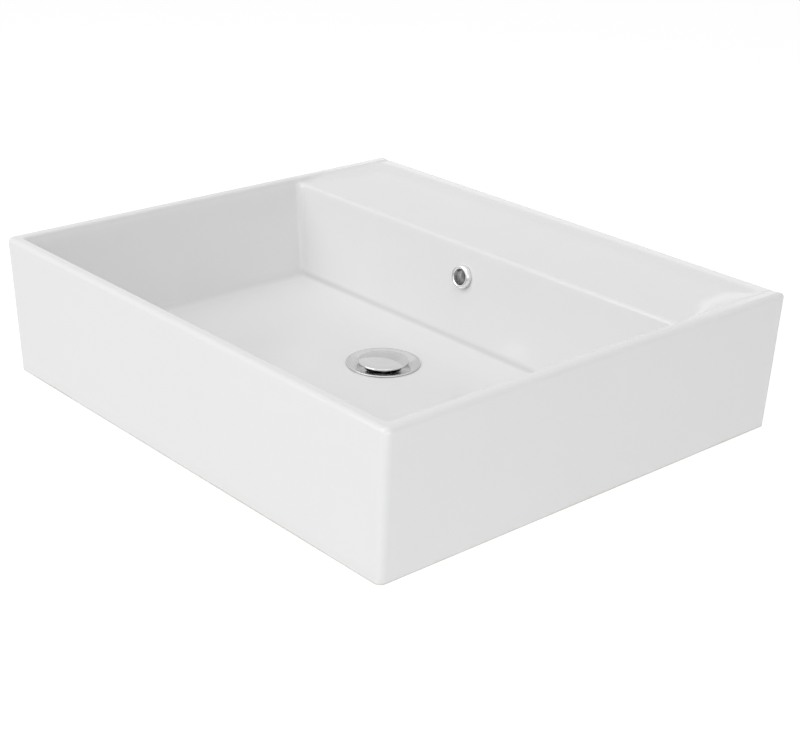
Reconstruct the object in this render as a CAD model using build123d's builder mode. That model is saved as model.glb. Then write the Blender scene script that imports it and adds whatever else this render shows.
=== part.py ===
from build123d import *
from math import atan2, cos, pi, radians, sin, tan
import os

# Wall-hung basin: one glazed ceramic casting with a tap ledge and an overflow, a
# click-clack waste with its cartridge, and the two hanger bolts that hold it to the wall.
# Millimetres. The wall is the plane y = 0, the basin stands out towards -Y and +Z is up.
# The origin is on the wall, midway between the two bolts.

# Basin, outside
basin_width = 510.0
basin_depth = 435.0
basin_height = 124.0
side_lean = 6.5
front_lean = 2.6
front_corner_radius = 6.5
rear_corner_radius = 2.5
rim_outer_radius = 4.5
rim_inner_radius = 2.5
foot_edge_radius = 1.0

# Basin, inside: rim widths, wall leans from top to foot, and the ledge behind the bowl
front_rim = 11.5
side_rim = 12.0
rear_lip = 14.0
bowl_side_lean = 27.0
bowl_front_lean = 27.0
bowl_rear_lean = 14.5
bowl_corner_radius = 7.0
bowl_foot_radius = 6.5
ledge_depth = 119.0
ledge_front_drop = 4.2
ledge_rear_drop = 1.8
ledge_edge_radius = 3.0
lip_ramp = 15.0

# Bowl floor: its height above the underside and its fall to the waste
floor_height = 33.5
floor_fall = 1.5
floor_margin = 9.0
floor_flat = 45.0
waste_from_wall = 216.0

# Walls of the casting
skirt_wall = 10.0
back_wall = 12.0
bowl_wall = 10.0
floor_wall = 10.5
ledge_wall = 11.0
shell_corner_radius = 14.0
shell_foot_radius = 12.0

# Waste boss under the floor and the water way that leads the overflow into it
boss_lift = 3.0
boss_radius = 38.0
chamber_radius = 30.0
channel_wall = 8.0
channel_height = 10.0
duct_width = 40.0
duct_depth = 13.5
duct_headroom = 14.0
waste_hole_clearance = 1.8
countersink_radius = 31.0
countersink_depth = 6.0

# Overflow hole and its trim ring
overflow_height = 91.7
overflow_hole_radius = 9.2
ring_radius = 10.7
ring_bore_radius = 7.3
ring_crown_radius = 8.9
ring_height = 5.2
ring_shoulder_height = 3.0
ring_lip_height = 4.3
ring_sleeve_wall = 0.9
ring_sleeve_length = 9.0

# Waste body: heights down from the top of its flange
flange_radius = 32.75
flange_proud = 1.2
flange_edge = 0.9
flange_land = 1.75
bore_radius = 16.4
dish_depth = 4.4
thread_radius = 20.95
flange_root_depth = 6.2
tail_drop = 40.0
tail_chamfer = 1.0
trap_thread_length = 23.0
relief_width = 1.8
relief_depth = 1.0
slot_width = 22.0
slot_height = 7.0
slot_count = 3
spider_drop = 28.0
spider_height = 7.0
spider_hub_radius = 8.5
spoke_width = 3.5

# Seals and back nut of the waste
gasket_outer_radius = 29.0
taper_washer_radius = 30.0
taper_washer_height = 6.0
taper_washer_toe = 3.0
taper_nose = 3.0
slip_washer_radius = 29.0
slip_washer_thickness = 2.0
back_nut_flats = 52.0
back_nut_height = 9.0
nut_chamfer = 1.2

# Pop-up cap, its seal and its lock nut
cap_radius = 22.3
cap_shut_depth = 2.45
cap_edge = 1.5
cap_crown = 3.5
cap_edge_radius = 0.5
cap_hollow_radius = 13.2
cap_hollow_height = 2.3
cap_boss_radius = 5.0
cap_boss_height = 0.6
seal_outer_radius = 18.2
seal_inner_radius = 13.5
seal_thickness = 2.0
seal_hang = 1.2
lock_nut_flats = 10.0
lock_nut_height = 2.5
plug_travel = 2.75

# Click-clack cartridge
housing_radius = 6.6
housing_bore_radius = 4.8
housing_top = 5.0
housing_floor = 1.5
gland_flange = 1.6
gland_plug = 1.4
neck_radius = 3.0
collar_height = 3.9
pin_radius = 1.9
pin_length = 8.0
cam_height = 3.9
tooth_count = 6
tooth_height = 0.8
stud_radius = 4.0
stud_length = 10.0
stud_nut_flats = 12.0
stud_nut_height = 3.0
spring_radius = 3.7
spring_wire = 0.7
spring_turns = 6

# Wall fixings
bolt_spacing = 280.0
fixing_height = 68.0
bolt_radius = 4.9
screw_radius = 5.1
bolt_reach = 60.0
bolt_tip = 10.0
bolt_neck_radius = 4.4
bolt_neck_length = 3.0
bolt_tail = 8.0
sleeve_radius = 7.8
sleeve_flange_radius = 14.0
sleeve_flange = 3.0
sleeve_recess = 0.3
fixing_hole_radius = 8.0
washer_radius = 12.5
washer_thickness = 2.0
bolt_nut_flats = 17.0
bolt_nut_height = 8.0

# Clearances
seat_gap = 0.05
thread_gap = 0.05
running_gap = 0.06
pin_gap = 0.08
cut_over = 6.0

# Levels and places that follow from the sizes above
underside_z = -fixing_height
rim_z = underside_z + basin_height
floor_z = underside_z + floor_height
drain_z = floor_z - floor_fall
ledge_z = rim_z - ledge_front_drop
ledge_under_z = ledge_z - ledge_wall
boss_z = underside_z + boss_lift
channel_floor_z = boss_z + channel_wall
channel_top_z = channel_floor_z + channel_height
overflow_z = underside_z + overflow_height
flange_z = drain_z + flange_proud
tail_z = underside_z - tail_drop
waste_y = -waste_from_wall
waste_hole_radius = thread_radius + waste_hole_clearance

rim_half_width = basin_width / 2 - side_rim
bowl_depth = rim_z - floor_z
rear_wall_height = ledge_z - floor_z
bowl_front_y = -(basin_depth - front_rim)
bowl_rear_foot_y = -(ledge_depth + bowl_rear_lean)
overflow_y = -ledge_depth - bowl_rear_lean * (ledge_z - overflow_z) / rear_wall_height
rear_wall_tilt = atan2(bowl_rear_lean, rear_wall_height)
duct_rear_y = overflow_y + bowl_wall + duct_depth

# Heights inside the waste, measured from the top of its flange (negative is down)
spider_top = -spider_drop
spider_foot = spider_top - spider_height
boss_foot = boss_z - flange_z
tail_foot = tail_z - flange_z
relief_foot = tail_foot + tail_chamfer + trap_thread_length
relief_top = relief_foot + relief_width
slot_middle = (channel_floor_z + channel_top_z) / 2 - flange_z
gland_top = -housing_top
gland_foot = gland_top - gland_flange - gland_plug
collar_top = gland_foot - seat_gap
collar_foot = collar_top - collar_height
cam_top = collar_foot - seat_gap
cam_foot = cam_top - cam_height
housing_well = spider_top + housing_floor
spring_top = cam_foot - seat_gap
spring_foot = housing_well + seat_gap
cap_lift = plug_travel - cap_shut_depth
cap_ceiling = cap_lift + cap_hollow_height
cap_boss_foot = cap_lift + cap_boss_height
seal_foot = cap_lift - seal_hang
seal_top = seal_foot + seal_thickness

# Upright section through the waste: sketch X is the radius and sketch Y the height
waste_section = Plane(origin=(0, waste_y, flange_z), x_dir=(1, 0, 0), z_dir=(0, -1, 0))
waste_axis = Axis((0, waste_y, 0), (0, 0, 1))

# Section through the overflow hole, square to the leaning rear wall of the bowl
overflow_normal = Vector(0, -cos(rear_wall_tilt), sin(rear_wall_tilt))
overflow_point = Vector(0, overflow_y, overflow_z)
overflow_section = Plane(overflow_point, x_dir=(1, 0, 0), z_dir=Vector(1, 0, 0).cross(overflow_normal))
overflow_face = Plane(overflow_point, x_dir=(1, 0, 0), z_dir=overflow_normal)

# The two places on the wall where the bolts stand
bolt_places = [(-bolt_spacing / 2, 0, 0), (bolt_spacing / 2, 0, 0)]


def waste_plane(height):
    """Level plane on the waste's axis, a height above the top of the flange."""
    return Plane(origin=(0, waste_y, flange_z + height))


def wall_plane(y):
    """Upright plane facing the room, a distance along Y from the wall."""
    return Plane(origin=(0, y, 0), x_dir=(1, 0, 0), z_dir=(0, -1, 0))


def leaning_block(low_z, high_z, half_low, half_high, front_low, front_high, rear_low, rear_high):
    """Block with flat leaning walls: its front view, cut to its side view."""
    with BuildPart() as block:
        with BuildSketch(Plane.XZ):
            front_view = [(-half_low, low_z), (half_low, low_z), (half_high, high_z), (-half_high, high_z)]
            Polygon(*front_view, align=None)
        extrude(amount=basin_depth + cut_over)
        with BuildSketch(Plane.YZ):
            side_view = [(front_low, low_z), (rear_low, low_z), (rear_high, high_z), (front_high, high_z)]
            Polygon(*side_view, align=None)
        extrude(amount=basin_width, both=True, mode=Mode.INTERSECT)
    return block.part


def steep_edges(part):
    """Edges that stand nearly upright."""
    return part.edges().filter_by(lambda edge: abs(edge.tangent_at(0.5).Z) > 0.8)


def dish_height(radius):
    """Top of the flange's dish at a radius."""
    land_radius = flange_radius - flange_land
    return -dish_depth * (land_radius - radius) / (land_radius - bore_radius)


def flange_under(radius):
    """Underside of the flange's cone at a radius."""
    share = (countersink_radius - radius) / (countersink_radius - thread_radius)
    return -flange_edge - (flange_root_depth - flange_edge) * share


def countersink_height(radius):
    """Ceramic seat under the flange at a radius."""
    share = (countersink_radius - radius) / (countersink_radius - waste_hole_radius)
    return -flange_proud - countersink_depth * share


# Inner space of the bowl and the room over the ledge, as one solid to cut away
def side_at(z):
    return rim_half_width - bowl_side_lean * (rim_z - z) / bowl_depth


def front_at(z):
    return bowl_front_y + bowl_front_lean * (rim_z - z) / bowl_depth


def rear_at(z):
    return -ledge_depth - bowl_rear_lean * (ledge_z - z) / rear_wall_height


open_z = rim_z + cut_over

with BuildPart() as bowl_space:
    with BuildSketch(Plane.XZ):
        front_view = [(-side_at(floor_z), floor_z), (side_at(floor_z), floor_z)]
        front_view += [(side_at(open_z), open_z), (-side_at(open_z), open_z)]
        Polygon(*front_view, align=None)
    extrude(amount=basin_depth)
    with BuildSketch(Plane.YZ):
        side_view = [(front_at(open_z), open_z), (front_at(floor_z), floor_z), (bowl_rear_foot_y, floor_z)]
        side_view += [(-ledge_depth, ledge_z), (-rear_lip - lip_ramp, rim_z - ledge_rear_drop)]
        side_view += [(-rear_lip, rim_z), (-rear_lip, open_z)]
        Polygon(*side_view, align=None)
    extrude(amount=basin_width, both=True, mode=Mode.INTERSECT)
    fillet(steep_edges(bowl_space.part).filter_by(lambda edge: edge.length > bowl_depth / 2), bowl_corner_radius)
    fillet(bowl_space.faces().sort_by(Axis.Z)[0].edges(), bowl_foot_radius)

# Space over the rounded edge where the ledge meets the bowl: a round bar less the rounded wedge
ledge_corner = Vector(-ledge_depth, ledge_z)
down_wall = Vector(-bowl_rear_lean, -rear_wall_height).normalized()
along_ledge = Vector(ledge_depth - rear_lip - lip_ramp, ledge_front_drop - ledge_rear_drop).normalized()
edge_reach = ledge_edge_radius / tan(radians(down_wall.get_angle(along_ledge)) / 2)
with BuildSketch() as ledge_wedge:
    wedge_ends = [ledge_corner + down_wall * 4 * edge_reach, ledge_corner + along_ledge * 4 * edge_reach]
    Polygon(ledge_corner, *wedge_ends, align=None)
    fillet(ledge_wedge.vertices().sort_by_distance(ledge_corner)[0], ledge_edge_radius)
with BuildPart() as ledge_edge_space:
    with BuildSketch(Plane.XZ):
        Polygon(*front_view, align=None)
    extrude(amount=basin_depth)
    with BuildSketch(Plane.YZ):
        with Locations(ledge_corner):
            Circle(edge_reach)
        add(ledge_wedge.sketch, mode=Mode.SUBTRACT)
    extrude(amount=basin_width, both=True, mode=Mode.INTERSECT)

# Shallow fall of the floor, from its margin down to a flat round the waste
floor_hollow = leaning_block(
    drain_z,
    floor_z,
    floor_flat,
    side_at(floor_z) - floor_margin,
    waste_y - floor_flat,
    front_at(floor_z) + floor_margin,
    waste_y + floor_flat,
    bowl_rear_foot_y - floor_margin,
)

# Hollow under the casting, inside the skirt and below the rim and the ledge
skirt_top_share = (ledge_under_z - underside_z) / basin_height
skirt_low_half = basin_width / 2 - side_lean - skirt_wall
skirt_low_front = -(basin_depth - front_lean - skirt_wall)
skirt_hollow = leaning_block(
    underside_z,
    ledge_under_z,
    skirt_low_half,
    skirt_low_half + side_lean * skirt_top_share,
    skirt_low_front,
    skirt_low_front - front_lean * skirt_top_share,
    -back_wall,
    -back_wall,
)

# Outside of the bowl's own walls, as it shows from below
shell_foot_z = floor_z - floor_wall
with BuildPart() as bowl_shell:
    add(
        leaning_block(
            shell_foot_z,
            ledge_under_z,
            side_at(shell_foot_z) + bowl_wall,
            side_at(ledge_under_z) + bowl_wall,
            front_at(shell_foot_z) - bowl_wall,
            front_at(ledge_under_z) - bowl_wall,
            rear_at(shell_foot_z) + bowl_wall,
            rear_at(ledge_under_z) + bowl_wall,
        )
    )
    fillet(steep_edges(bowl_shell.part), shell_corner_radius)
    fillet(bowl_shell.faces().sort_by(Axis.Z)[0].edges(), shell_foot_radius)

# The ceramic casting
with BuildPart() as basin_body:
    low_half = basin_width / 2 - side_lean
    add(
        leaning_block(
            underside_z,
            rim_z,
            low_half,
            basin_width / 2,
            -(basin_depth - front_lean),
            -basin_depth,
            0,
            0,
        )
    )
    upright = steep_edges(basin_body.part).group_by(Axis.Y)
    fillet(upright[0], front_corner_radius)
    fillet(steep_edges(basin_body.part).group_by(Axis.Y)[-1], rear_corner_radius)
    fillet(basin_body.faces().sort_by(Axis.Z)[-1].edges(), rim_outer_radius)
    fillet(basin_body.faces().sort_by(Axis.Z)[0].edges(), foot_edge_radius)
    add(skirt_hollow, mode=Mode.SUBTRACT)
    add(bowl_shell.part)
    # Boss round the waste hole
    with BuildSketch(Plane.XY.offset(boss_z)):
        with Locations((0, waste_y)):
            Circle(boss_radius)
    extrude(amount=drain_z - boss_z)
    # Casing of the overflow's water way: down behind the bowl and forward under the floor
    with BuildSketch(Plane.XY.offset(boss_z)):
        with Locations((0, (waste_y + duct_rear_y + channel_wall) / 2)):
            Rectangle(duct_width + 2 * channel_wall, duct_rear_y + channel_wall - waste_y)
    extrude(amount=floor_z - boss_z)
    with BuildSketch(Plane.XY.offset(boss_z)):
        with Locations((0, (bowl_rear_foot_y + duct_rear_y + channel_wall) / 2)):
            Rectangle(duct_width + 2 * channel_wall, duct_rear_y + channel_wall - bowl_rear_foot_y)
    extrude(amount=ledge_under_z - boss_z)
    # Bowl, ledge and the fall of the floor
    add(bowl_space.part, mode=Mode.SUBTRACT)
    add(ledge_edge_space.part, mode=Mode.SUBTRACT)
    add(floor_hollow, mode=Mode.SUBTRACT)
    # Water way inside its casing
    with BuildSketch(Plane.XY.offset(channel_floor_z)):
        with Locations((0, (waste_y + duct_rear_y) / 2)):
            Rectangle(duct_width, duct_rear_y - waste_y)
        with Locations((0, waste_y)):
            Circle(chamber_radius)
    extrude(amount=channel_height, mode=Mode.SUBTRACT)
    with BuildSketch(Plane.XY.offset(channel_floor_z)):
        with Locations((0, duct_rear_y - duct_depth / 2)):
            Rectangle(duct_width, duct_depth)
    extrude(amount=overflow_z + duct_headroom - channel_floor_z, mode=Mode.SUBTRACT)
    # Overflow hole, square to the bowl's rear wall
    with BuildSketch(overflow_face):
        Circle(overflow_hole_radius)
    extrude(amount=-(bowl_wall + duct_depth / 2), mode=Mode.SUBTRACT)
    # Waste hole with its countersunk seat
    with BuildSketch(waste_section):
        seat = [(0, -flange_proud), (countersink_radius, -flange_proud)]
        seat += [(waste_hole_radius, -flange_proud - countersink_depth), (waste_hole_radius, boss_foot)]
        seat += [(0, boss_foot)]
        Polygon(*seat, align=None)
    revolve(axis=waste_axis, mode=Mode.SUBTRACT)
    # Holes for the wall bolts
    with BuildSketch(wall_plane(0)):
        with Locations(*[(x, z) for x, y, z in bolt_places]):
            Circle(fixing_hole_radius)
    extrude(amount=back_wall, mode=Mode.SUBTRACT)
    # Rounded inner edge of the rim
    on_rim = basin_body.edges().filter_by(lambda edge: abs(edge.center().Z - rim_z) < 0.01)
    inside_rim = on_rim.filter_by(lambda edge: abs(edge.center().X) <= rim_half_width + seat_gap)
    inner_rim = inside_rim.filter_by(lambda edge: bowl_front_y - seat_gap < edge.center().Y < -rear_lip - 1)
    fillet(inner_rim, rim_inner_radius)

# Trim ring of the overflow: a rounded bead on the wall and a sleeve in the hole
with BuildPart() as overflow_ring:
    with BuildSketch(overflow_section):
        with BuildLine():
            outer_foot = (ring_radius, seat_gap)
            shoulder = (ring_radius, ring_shoulder_height)
            crown = (ring_crown_radius, ring_height)
            lip = (ring_bore_radius, ring_lip_height)
            Spline(crown, shoulder, tangents=((1, 0), (0, -1)))
            Spline(crown, lip, tangents=((-1, 0), (-0.4, -1)))
            sleeve_radius_outer = ring_bore_radius + ring_sleeve_wall
            Polyline(
                lip,
                (ring_bore_radius, -ring_sleeve_length),
                (sleeve_radius_outer, -ring_sleeve_length),
                (sleeve_radius_outer, seat_gap),
                outer_foot,
                shoulder,
            )
        make_face()
    revolve(axis=Axis(overflow_point, overflow_normal))

# Waste body: dished flange, threaded tail, overflow slots and the spider for the cartridge
with BuildPart() as waste_body:
    with BuildSketch(waste_section):
        land = flange_radius - flange_land
        with BuildLine():
            Polyline(
                (flange_radius, -flange_edge / 2),
                (flange_radius, -flange_edge),
                (countersink_radius, -flange_edge),
                (thread_radius, flange_under(thread_radius)),
                (thread_radius, relief_top),
                (thread_radius - relief_depth, relief_top),
                (thread_radius - relief_depth, relief_foot),
                (thread_radius, relief_foot),
                (thread_radius, tail_foot + tail_chamfer),
                (thread_radius - tail_chamfer, tail_foot),
                (bore_radius, tail_foot),
                (bore_radius, dish_height(bore_radius)),
                (land, 0),
            )
            Line((land, 0), (flange_radius - flange_edge / 2, 0))
            TangentArc((flange_radius - flange_edge / 2, 0), (flange_radius, -flange_edge / 2), tangent=(1, 0))
        make_face()
    revolve(axis=waste_axis)
    rim_hole = waste_body.edges().filter_by(GeomType.CIRCLE)
    rim_hole = rim_hole.filter_by(lambda edge: abs(edge.radius - bore_radius) < 0.01).sort_by(Axis.Z)[-1]
    fillet(rim_hole, cap_edge_radius)
    with Locations(waste_plane(slot_middle)):
        with PolarLocations((bore_radius + thread_radius) / 2, slot_count, start_angle=90):
            Box(2 * (thread_radius - bore_radius), slot_width, slot_height, mode=Mode.SUBTRACT)
    with BuildSketch(waste_plane(spider_foot)):
        Circle(spider_hub_radius)
        with PolarLocations(bore_radius / 2 + seat_gap, slot_count, start_angle=-90):
            Rectangle(bore_radius + 1, spoke_width)
        Circle(stud_radius + thread_gap, mode=Mode.SUBTRACT)
    extrude(amount=spider_height)

# Tapered gasket between the flange and its seat in the ceramic
with BuildPart() as flange_gasket:
    with BuildSketch(waste_section):
        inner = waste_hole_radius + seat_gap
        outer = gasket_outer_radius
        Polygon(
            (inner, flange_under(inner) - seat_gap),
            (outer, flange_under(outer) - seat_gap),
            (outer, countersink_height(outer) + seat_gap),
            (inner, countersink_height(inner) + seat_gap),
            align=None,
        )
    revolve(axis=waste_axis)

# Rubber washer under the boss, with a nose that centres the tail in the hole
washer_bore = thread_radius + thread_gap
with BuildPart() as taper_washer:
    with BuildSketch(waste_section):
        top = boss_foot - seat_gap
        Polygon(
            (washer_bore, top + taper_nose),
            ((washer_bore + waste_hole_radius) / 2, top + taper_nose),
            (waste_hole_radius - seat_gap, top),
            (taper_washer_radius, top),
            (taper_washer_radius, top - taper_washer_height / 2),
            (taper_washer_radius - taper_washer_toe, top - taper_washer_height),
            (washer_bore, top - taper_washer_height),
            align=None,
        )
    revolve(axis=waste_axis)

# Slip washer that lets the nut turn without dragging the rubber round
slip_top = boss_foot - taper_washer_height - 2 * seat_gap
with BuildPart() as slip_washer:
    with BuildSketch(waste_plane(slip_top - slip_washer_thickness)):
        Circle(slip_washer_radius)
        Circle(washer_bore, mode=Mode.SUBTRACT)
    extrude(amount=slip_washer_thickness)
    rounds = slip_washer.edges().filter_by(GeomType.CIRCLE)
    fillet(rounds.filter_by(lambda edge: edge.radius > washer_bore + 1), slip_washer_thickness / 4)


def nut(plane, flats, height, bore):
    """Hexagon nut that rises from a plane, with its corners turned off at both faces."""
    with BuildPart() as hexagon:
        with BuildSketch(plane):
            RegularPolygon(flats / 2, 6, major_radius=False)
            Circle(bore, mode=Mode.SUBTRACT)
        extrude(amount=height)
        corner = flats / 2 / cos(pi / 6)
        chamfer_run = min(nut_chamfer, height / 4)
        with BuildPart(mode=Mode.PRIVATE) as turned:
            with BuildSketch(plane):
                Circle(corner)
            extrude(amount=height)
            chamfer(turned.edges().filter_by(GeomType.CIRCLE), chamfer_run / 2, chamfer_run)
        add(turned.part, mode=Mode.INTERSECT)
    return hexagon.part


# Back nut that pulls the waste down on its seals
nut_top = slip_top - slip_washer_thickness - seat_gap
with BuildPart() as back_nut:
    add(nut(waste_plane(nut_top - back_nut_height), back_nut_flats, back_nut_height, washer_bore))

# Cartridge housing: a cup that stands on the spider, with a threaded stud through the hub
with BuildPart() as cartridge_housing:
    with BuildSketch(waste_section):
        housing_rim = gland_top - gland_flange - seat_gap
        Polygon(
            (housing_bore_radius, housing_rim),
            (housing_radius, housing_rim),
            (housing_radius, spider_top + seat_gap),
            (stud_radius, spider_top + seat_gap),
            (stud_radius, spider_top - stud_length),
            (0, spider_top - stud_length),
            (0, housing_well),
            (housing_bore_radius, housing_well),
            align=None,
        )
    revolve(axis=waste_axis)

# Gland that closes the cup and guides the plunger's neck
with BuildPart() as cartridge_gland:
    with BuildSketch(waste_section):
        gland_plug_radius = housing_bore_radius - thread_gap
        Polygon(
            (neck_radius + running_gap, gland_top),
            (housing_radius, gland_top),
            (housing_radius, gland_top - gland_flange),
            (gland_plug_radius, gland_top - gland_flange),
            (gland_plug_radius, gland_foot),
            (neck_radius + running_gap, gland_foot),
            align=None,
        )
    revolve(axis=waste_axis)

# Nut that holds the cartridge under the spider
with BuildPart() as cartridge_nut:
    stud_nut_foot = spider_foot - seat_gap - stud_nut_height
    add(nut(waste_plane(stud_nut_foot), stud_nut_flats, stud_nut_height, stud_radius + thread_gap))

# Plunger: neck into the cap, toothed collar in the housing, pin through the index cam
with BuildPart() as plunger:
    with BuildSketch(waste_section):
        Polygon(
            (0, cap_ceiling - seat_gap),
            (neck_radius, cap_ceiling - seat_gap),
            (neck_radius, collar_top),
            (housing_bore_radius - running_gap, collar_top),
            (housing_bore_radius - running_gap, collar_foot),
            (pin_radius, collar_foot),
            (pin_radius, collar_foot - pin_length),
            (0, collar_foot - pin_length),
            align=None,
        )
    revolve(axis=waste_axis)
    with BuildSketch(waste_plane(collar_foot)):
        with PolarLocations((pin_radius + housing_bore_radius) / 2, tooth_count):
            Rectangle(housing_bore_radius - pin_radius + 1, pi * housing_bore_radius / tooth_count)
        Circle(pin_radius, mode=Mode.SUBTRACT)
    extrude(amount=tooth_height, mode=Mode.SUBTRACT)

# Index cam: the ring that turns a tooth at each press and holds the plunger down
cam_radius = housing_bore_radius - pin_gap
with BuildPart() as index_cam:
    with BuildSketch(waste_plane(cam_foot)):
        Circle(cam_radius)
        Circle(pin_radius + pin_gap, mode=Mode.SUBTRACT)
    extrude(amount=cam_height)
    with BuildSketch(waste_plane(cam_top - tooth_height)):
        with PolarLocations((pin_radius + housing_bore_radius) / 2, tooth_count):
            Rectangle(housing_bore_radius - pin_radius + 1, pi * housing_bore_radius / tooth_count)
        Circle(pin_radius + pin_gap, mode=Mode.SUBTRACT)
    extrude(amount=tooth_height, mode=Mode.SUBTRACT)

# Return spring under the cam
spring_lift = spring_foot + spring_wire / 2
spring_rise = spring_top - spring_foot - spring_wire
with BuildPart() as return_spring:
    with BuildLine(waste_plane(spring_lift)):
        coil = Helix(pitch=spring_rise / spring_turns, height=spring_rise, radius=spring_radius)
    with BuildSketch(Plane(origin=coil @ 0, z_dir=coil % 0)):
        Circle(spring_wire / 2)
    sweep(path=coil)

# Pop-up cap: a low dome, hollow beneath, with a boss for the plunger and a seat for its seal
with BuildPart() as pop_up_cap:
    dome_foot = cap_lift + cap_edge
    with BuildSketch(waste_section):
        with BuildLine():
            ThreePointArc(
                (-cap_radius, dome_foot),
                (0, dome_foot + cap_crown),
                (cap_radius, dome_foot),
            )
            Polyline((cap_radius, dome_foot), (cap_radius, cap_lift), (-cap_radius, cap_lift), (-cap_radius, dome_foot))
        make_face()
        with Locations((-cap_radius, cap_lift)):
            Rectangle(cap_radius, cap_crown + 2 * cap_edge, align=(Align.MIN, Align.MIN), mode=Mode.SUBTRACT)
    revolve(axis=waste_axis)
    edge_circles = pop_up_cap.edges().filter_by(GeomType.CIRCLE)
    fillet(edge_circles.filter_by(lambda edge: edge.radius > cap_radius - 1), cap_edge_radius)
    with BuildSketch(waste_plane(cap_lift)):
        Circle(seal_outer_radius + seat_gap)
    extrude(amount=seal_top - cap_lift, mode=Mode.SUBTRACT)
    with BuildSketch(waste_plane(cap_lift)):
        Circle(cap_hollow_radius)
        Circle(cap_boss_radius, mode=Mode.SUBTRACT)
    extrude(amount=cap_hollow_height, mode=Mode.SUBTRACT)
    with BuildSketch(waste_plane(cap_boss_foot)):
        Circle(cap_boss_radius)
        Circle(neck_radius + thread_gap, mode=Mode.SUBTRACT)
    extrude(amount=cap_hollow_height - cap_boss_height)
    with BuildSketch(waste_plane(cap_boss_foot)):
        Circle(neck_radius + thread_gap)
    extrude(amount=cap_hollow_height - cap_boss_height, mode=Mode.SUBTRACT)

# Seal ring in the cap's underside
with BuildPart() as cap_seal:
    with BuildSketch(waste_plane(seal_foot)):
        Circle(seal_outer_radius)
        Circle(seal_inner_radius, mode=Mode.SUBTRACT)
    extrude(amount=seal_thickness - seat_gap)

# Lock nut that fixes the cap's height on the plunger's thread
with BuildPart() as cap_lock_nut:
    lock_nut_foot = cap_boss_foot - seat_gap - lock_nut_height
    add(nut(waste_plane(lock_nut_foot), lock_nut_flats, lock_nut_height, neck_radius + thread_gap))

# Faces along the wall bolts, from the ceramic's back wall into the hollow under the ledge
sleeve_face = -back_wall - seat_gap
washer_face = sleeve_face - sleeve_flange - seat_gap
bolt_nut_face = washer_face - washer_thickness - seat_gap
bolt_end = bolt_nut_face - bolt_nut_height - bolt_tail
bolt_hole = bolt_radius + thread_gap

# Hanger bolts: machine thread in the basin, plain neck, pointed screw end in the wall
with BuildPart() as wall_bolts:
    for x, y, z in bolt_places:
        with BuildSketch(Plane.XY):
            Polygon(
                (x, bolt_end),
                (x + bolt_radius - 1, bolt_end),
                (x + bolt_radius, bolt_end + 1),
                (x + bolt_radius, -bolt_neck_length),
                (x + bolt_neck_radius, -bolt_neck_length),
                (x + bolt_neck_radius, 0),
                (x + screw_radius, 0),
                (x + screw_radius, bolt_reach - bolt_tip),
                (x, bolt_reach),
                align=None,
            )
        revolve(axis=Axis((x, 0, 0), (0, 1, 0)))

# Flanged plastic sleeves that centre the bolts in the ceramic's holes
with BuildPart() as bolt_sleeves:
    for x, y, z in bolt_places:
        with BuildSketch(Plane.XY):
            Polygon(
                (x + bolt_hole, -sleeve_recess),
                (x + sleeve_radius, -sleeve_recess),
                (x + sleeve_radius, sleeve_face),
                (x + sleeve_flange_radius, sleeve_face),
                (x + sleeve_flange_radius, sleeve_face - sleeve_flange),
                (x + bolt_hole, sleeve_face - sleeve_flange),
                align=None,
            )
        revolve(axis=Axis((x, 0, 0), (0, 1, 0)))

with BuildPart() as bolt_washers:
    with BuildSketch(wall_plane(washer_face)):
        with Locations(*[(x, z) for x, y, z in bolt_places]):
            Circle(washer_radius)
            Circle(bolt_hole, mode=Mode.SUBTRACT)
    extrude(amount=washer_thickness)

with BuildPart() as bolt_nuts:
    for x, y, z in bolt_places:
        face = Plane(origin=(x, bolt_nut_face, z), x_dir=(1, 0, 0), z_dir=(0, -1, 0))
        add(nut(face, bolt_nut_flats, bolt_nut_height, bolt_hole))

pieces = {
    "basin_body": basin_body,
    "overflow_ring": overflow_ring,
    "waste_body": waste_body,
    "flange_gasket": flange_gasket,
    "taper_washer": taper_washer,
    "slip_washer": slip_washer,
    "back_nut": back_nut,
    "cartridge_housing": cartridge_housing,
    "cartridge_gland": cartridge_gland,
    "cartridge_nut": cartridge_nut,
    "plunger": plunger,
    "index_cam": index_cam,
    "return_spring": return_spring,
    "pop_up_cap": pop_up_cap,
    "cap_seal": cap_seal,
    "cap_lock_nut": cap_lock_nut,
    "wall_bolts": wall_bolts,
    "bolt_sleeves": bolt_sleeves,
    "bolt_washers": bolt_washers,
    "bolt_nuts": bolt_nuts,
}

os.makedirs("parts", exist_ok=True)
for name, piece in pieces.items():
    piece.part.label = name
    export_step(piece.part, f"parts/{name}.step")
    print(name, len(piece.part.solids()), "solid(s)", round(piece.part.volume / 1000, 2), "cm3")
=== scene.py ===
import math

import bmesh
import bpy
import numpy as np
from mathutils import Matrix, Vector


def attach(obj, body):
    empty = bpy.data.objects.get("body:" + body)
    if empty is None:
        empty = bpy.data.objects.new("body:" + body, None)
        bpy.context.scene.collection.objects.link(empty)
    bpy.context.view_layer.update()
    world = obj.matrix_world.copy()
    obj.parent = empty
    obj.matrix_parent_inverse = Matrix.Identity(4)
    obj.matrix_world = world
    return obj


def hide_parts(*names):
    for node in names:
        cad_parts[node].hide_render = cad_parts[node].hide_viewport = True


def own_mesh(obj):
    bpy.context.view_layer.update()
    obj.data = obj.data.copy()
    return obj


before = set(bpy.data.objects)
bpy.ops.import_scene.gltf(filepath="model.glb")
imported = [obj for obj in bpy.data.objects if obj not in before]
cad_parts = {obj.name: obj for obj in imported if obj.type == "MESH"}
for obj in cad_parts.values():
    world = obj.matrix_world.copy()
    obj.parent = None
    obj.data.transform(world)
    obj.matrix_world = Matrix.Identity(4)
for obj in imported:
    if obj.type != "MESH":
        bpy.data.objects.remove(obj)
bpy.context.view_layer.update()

# Sizes are in millimetres until a surface becomes a mesh. The wall is y = 0, the room is -Y, up is +Z.


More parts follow.
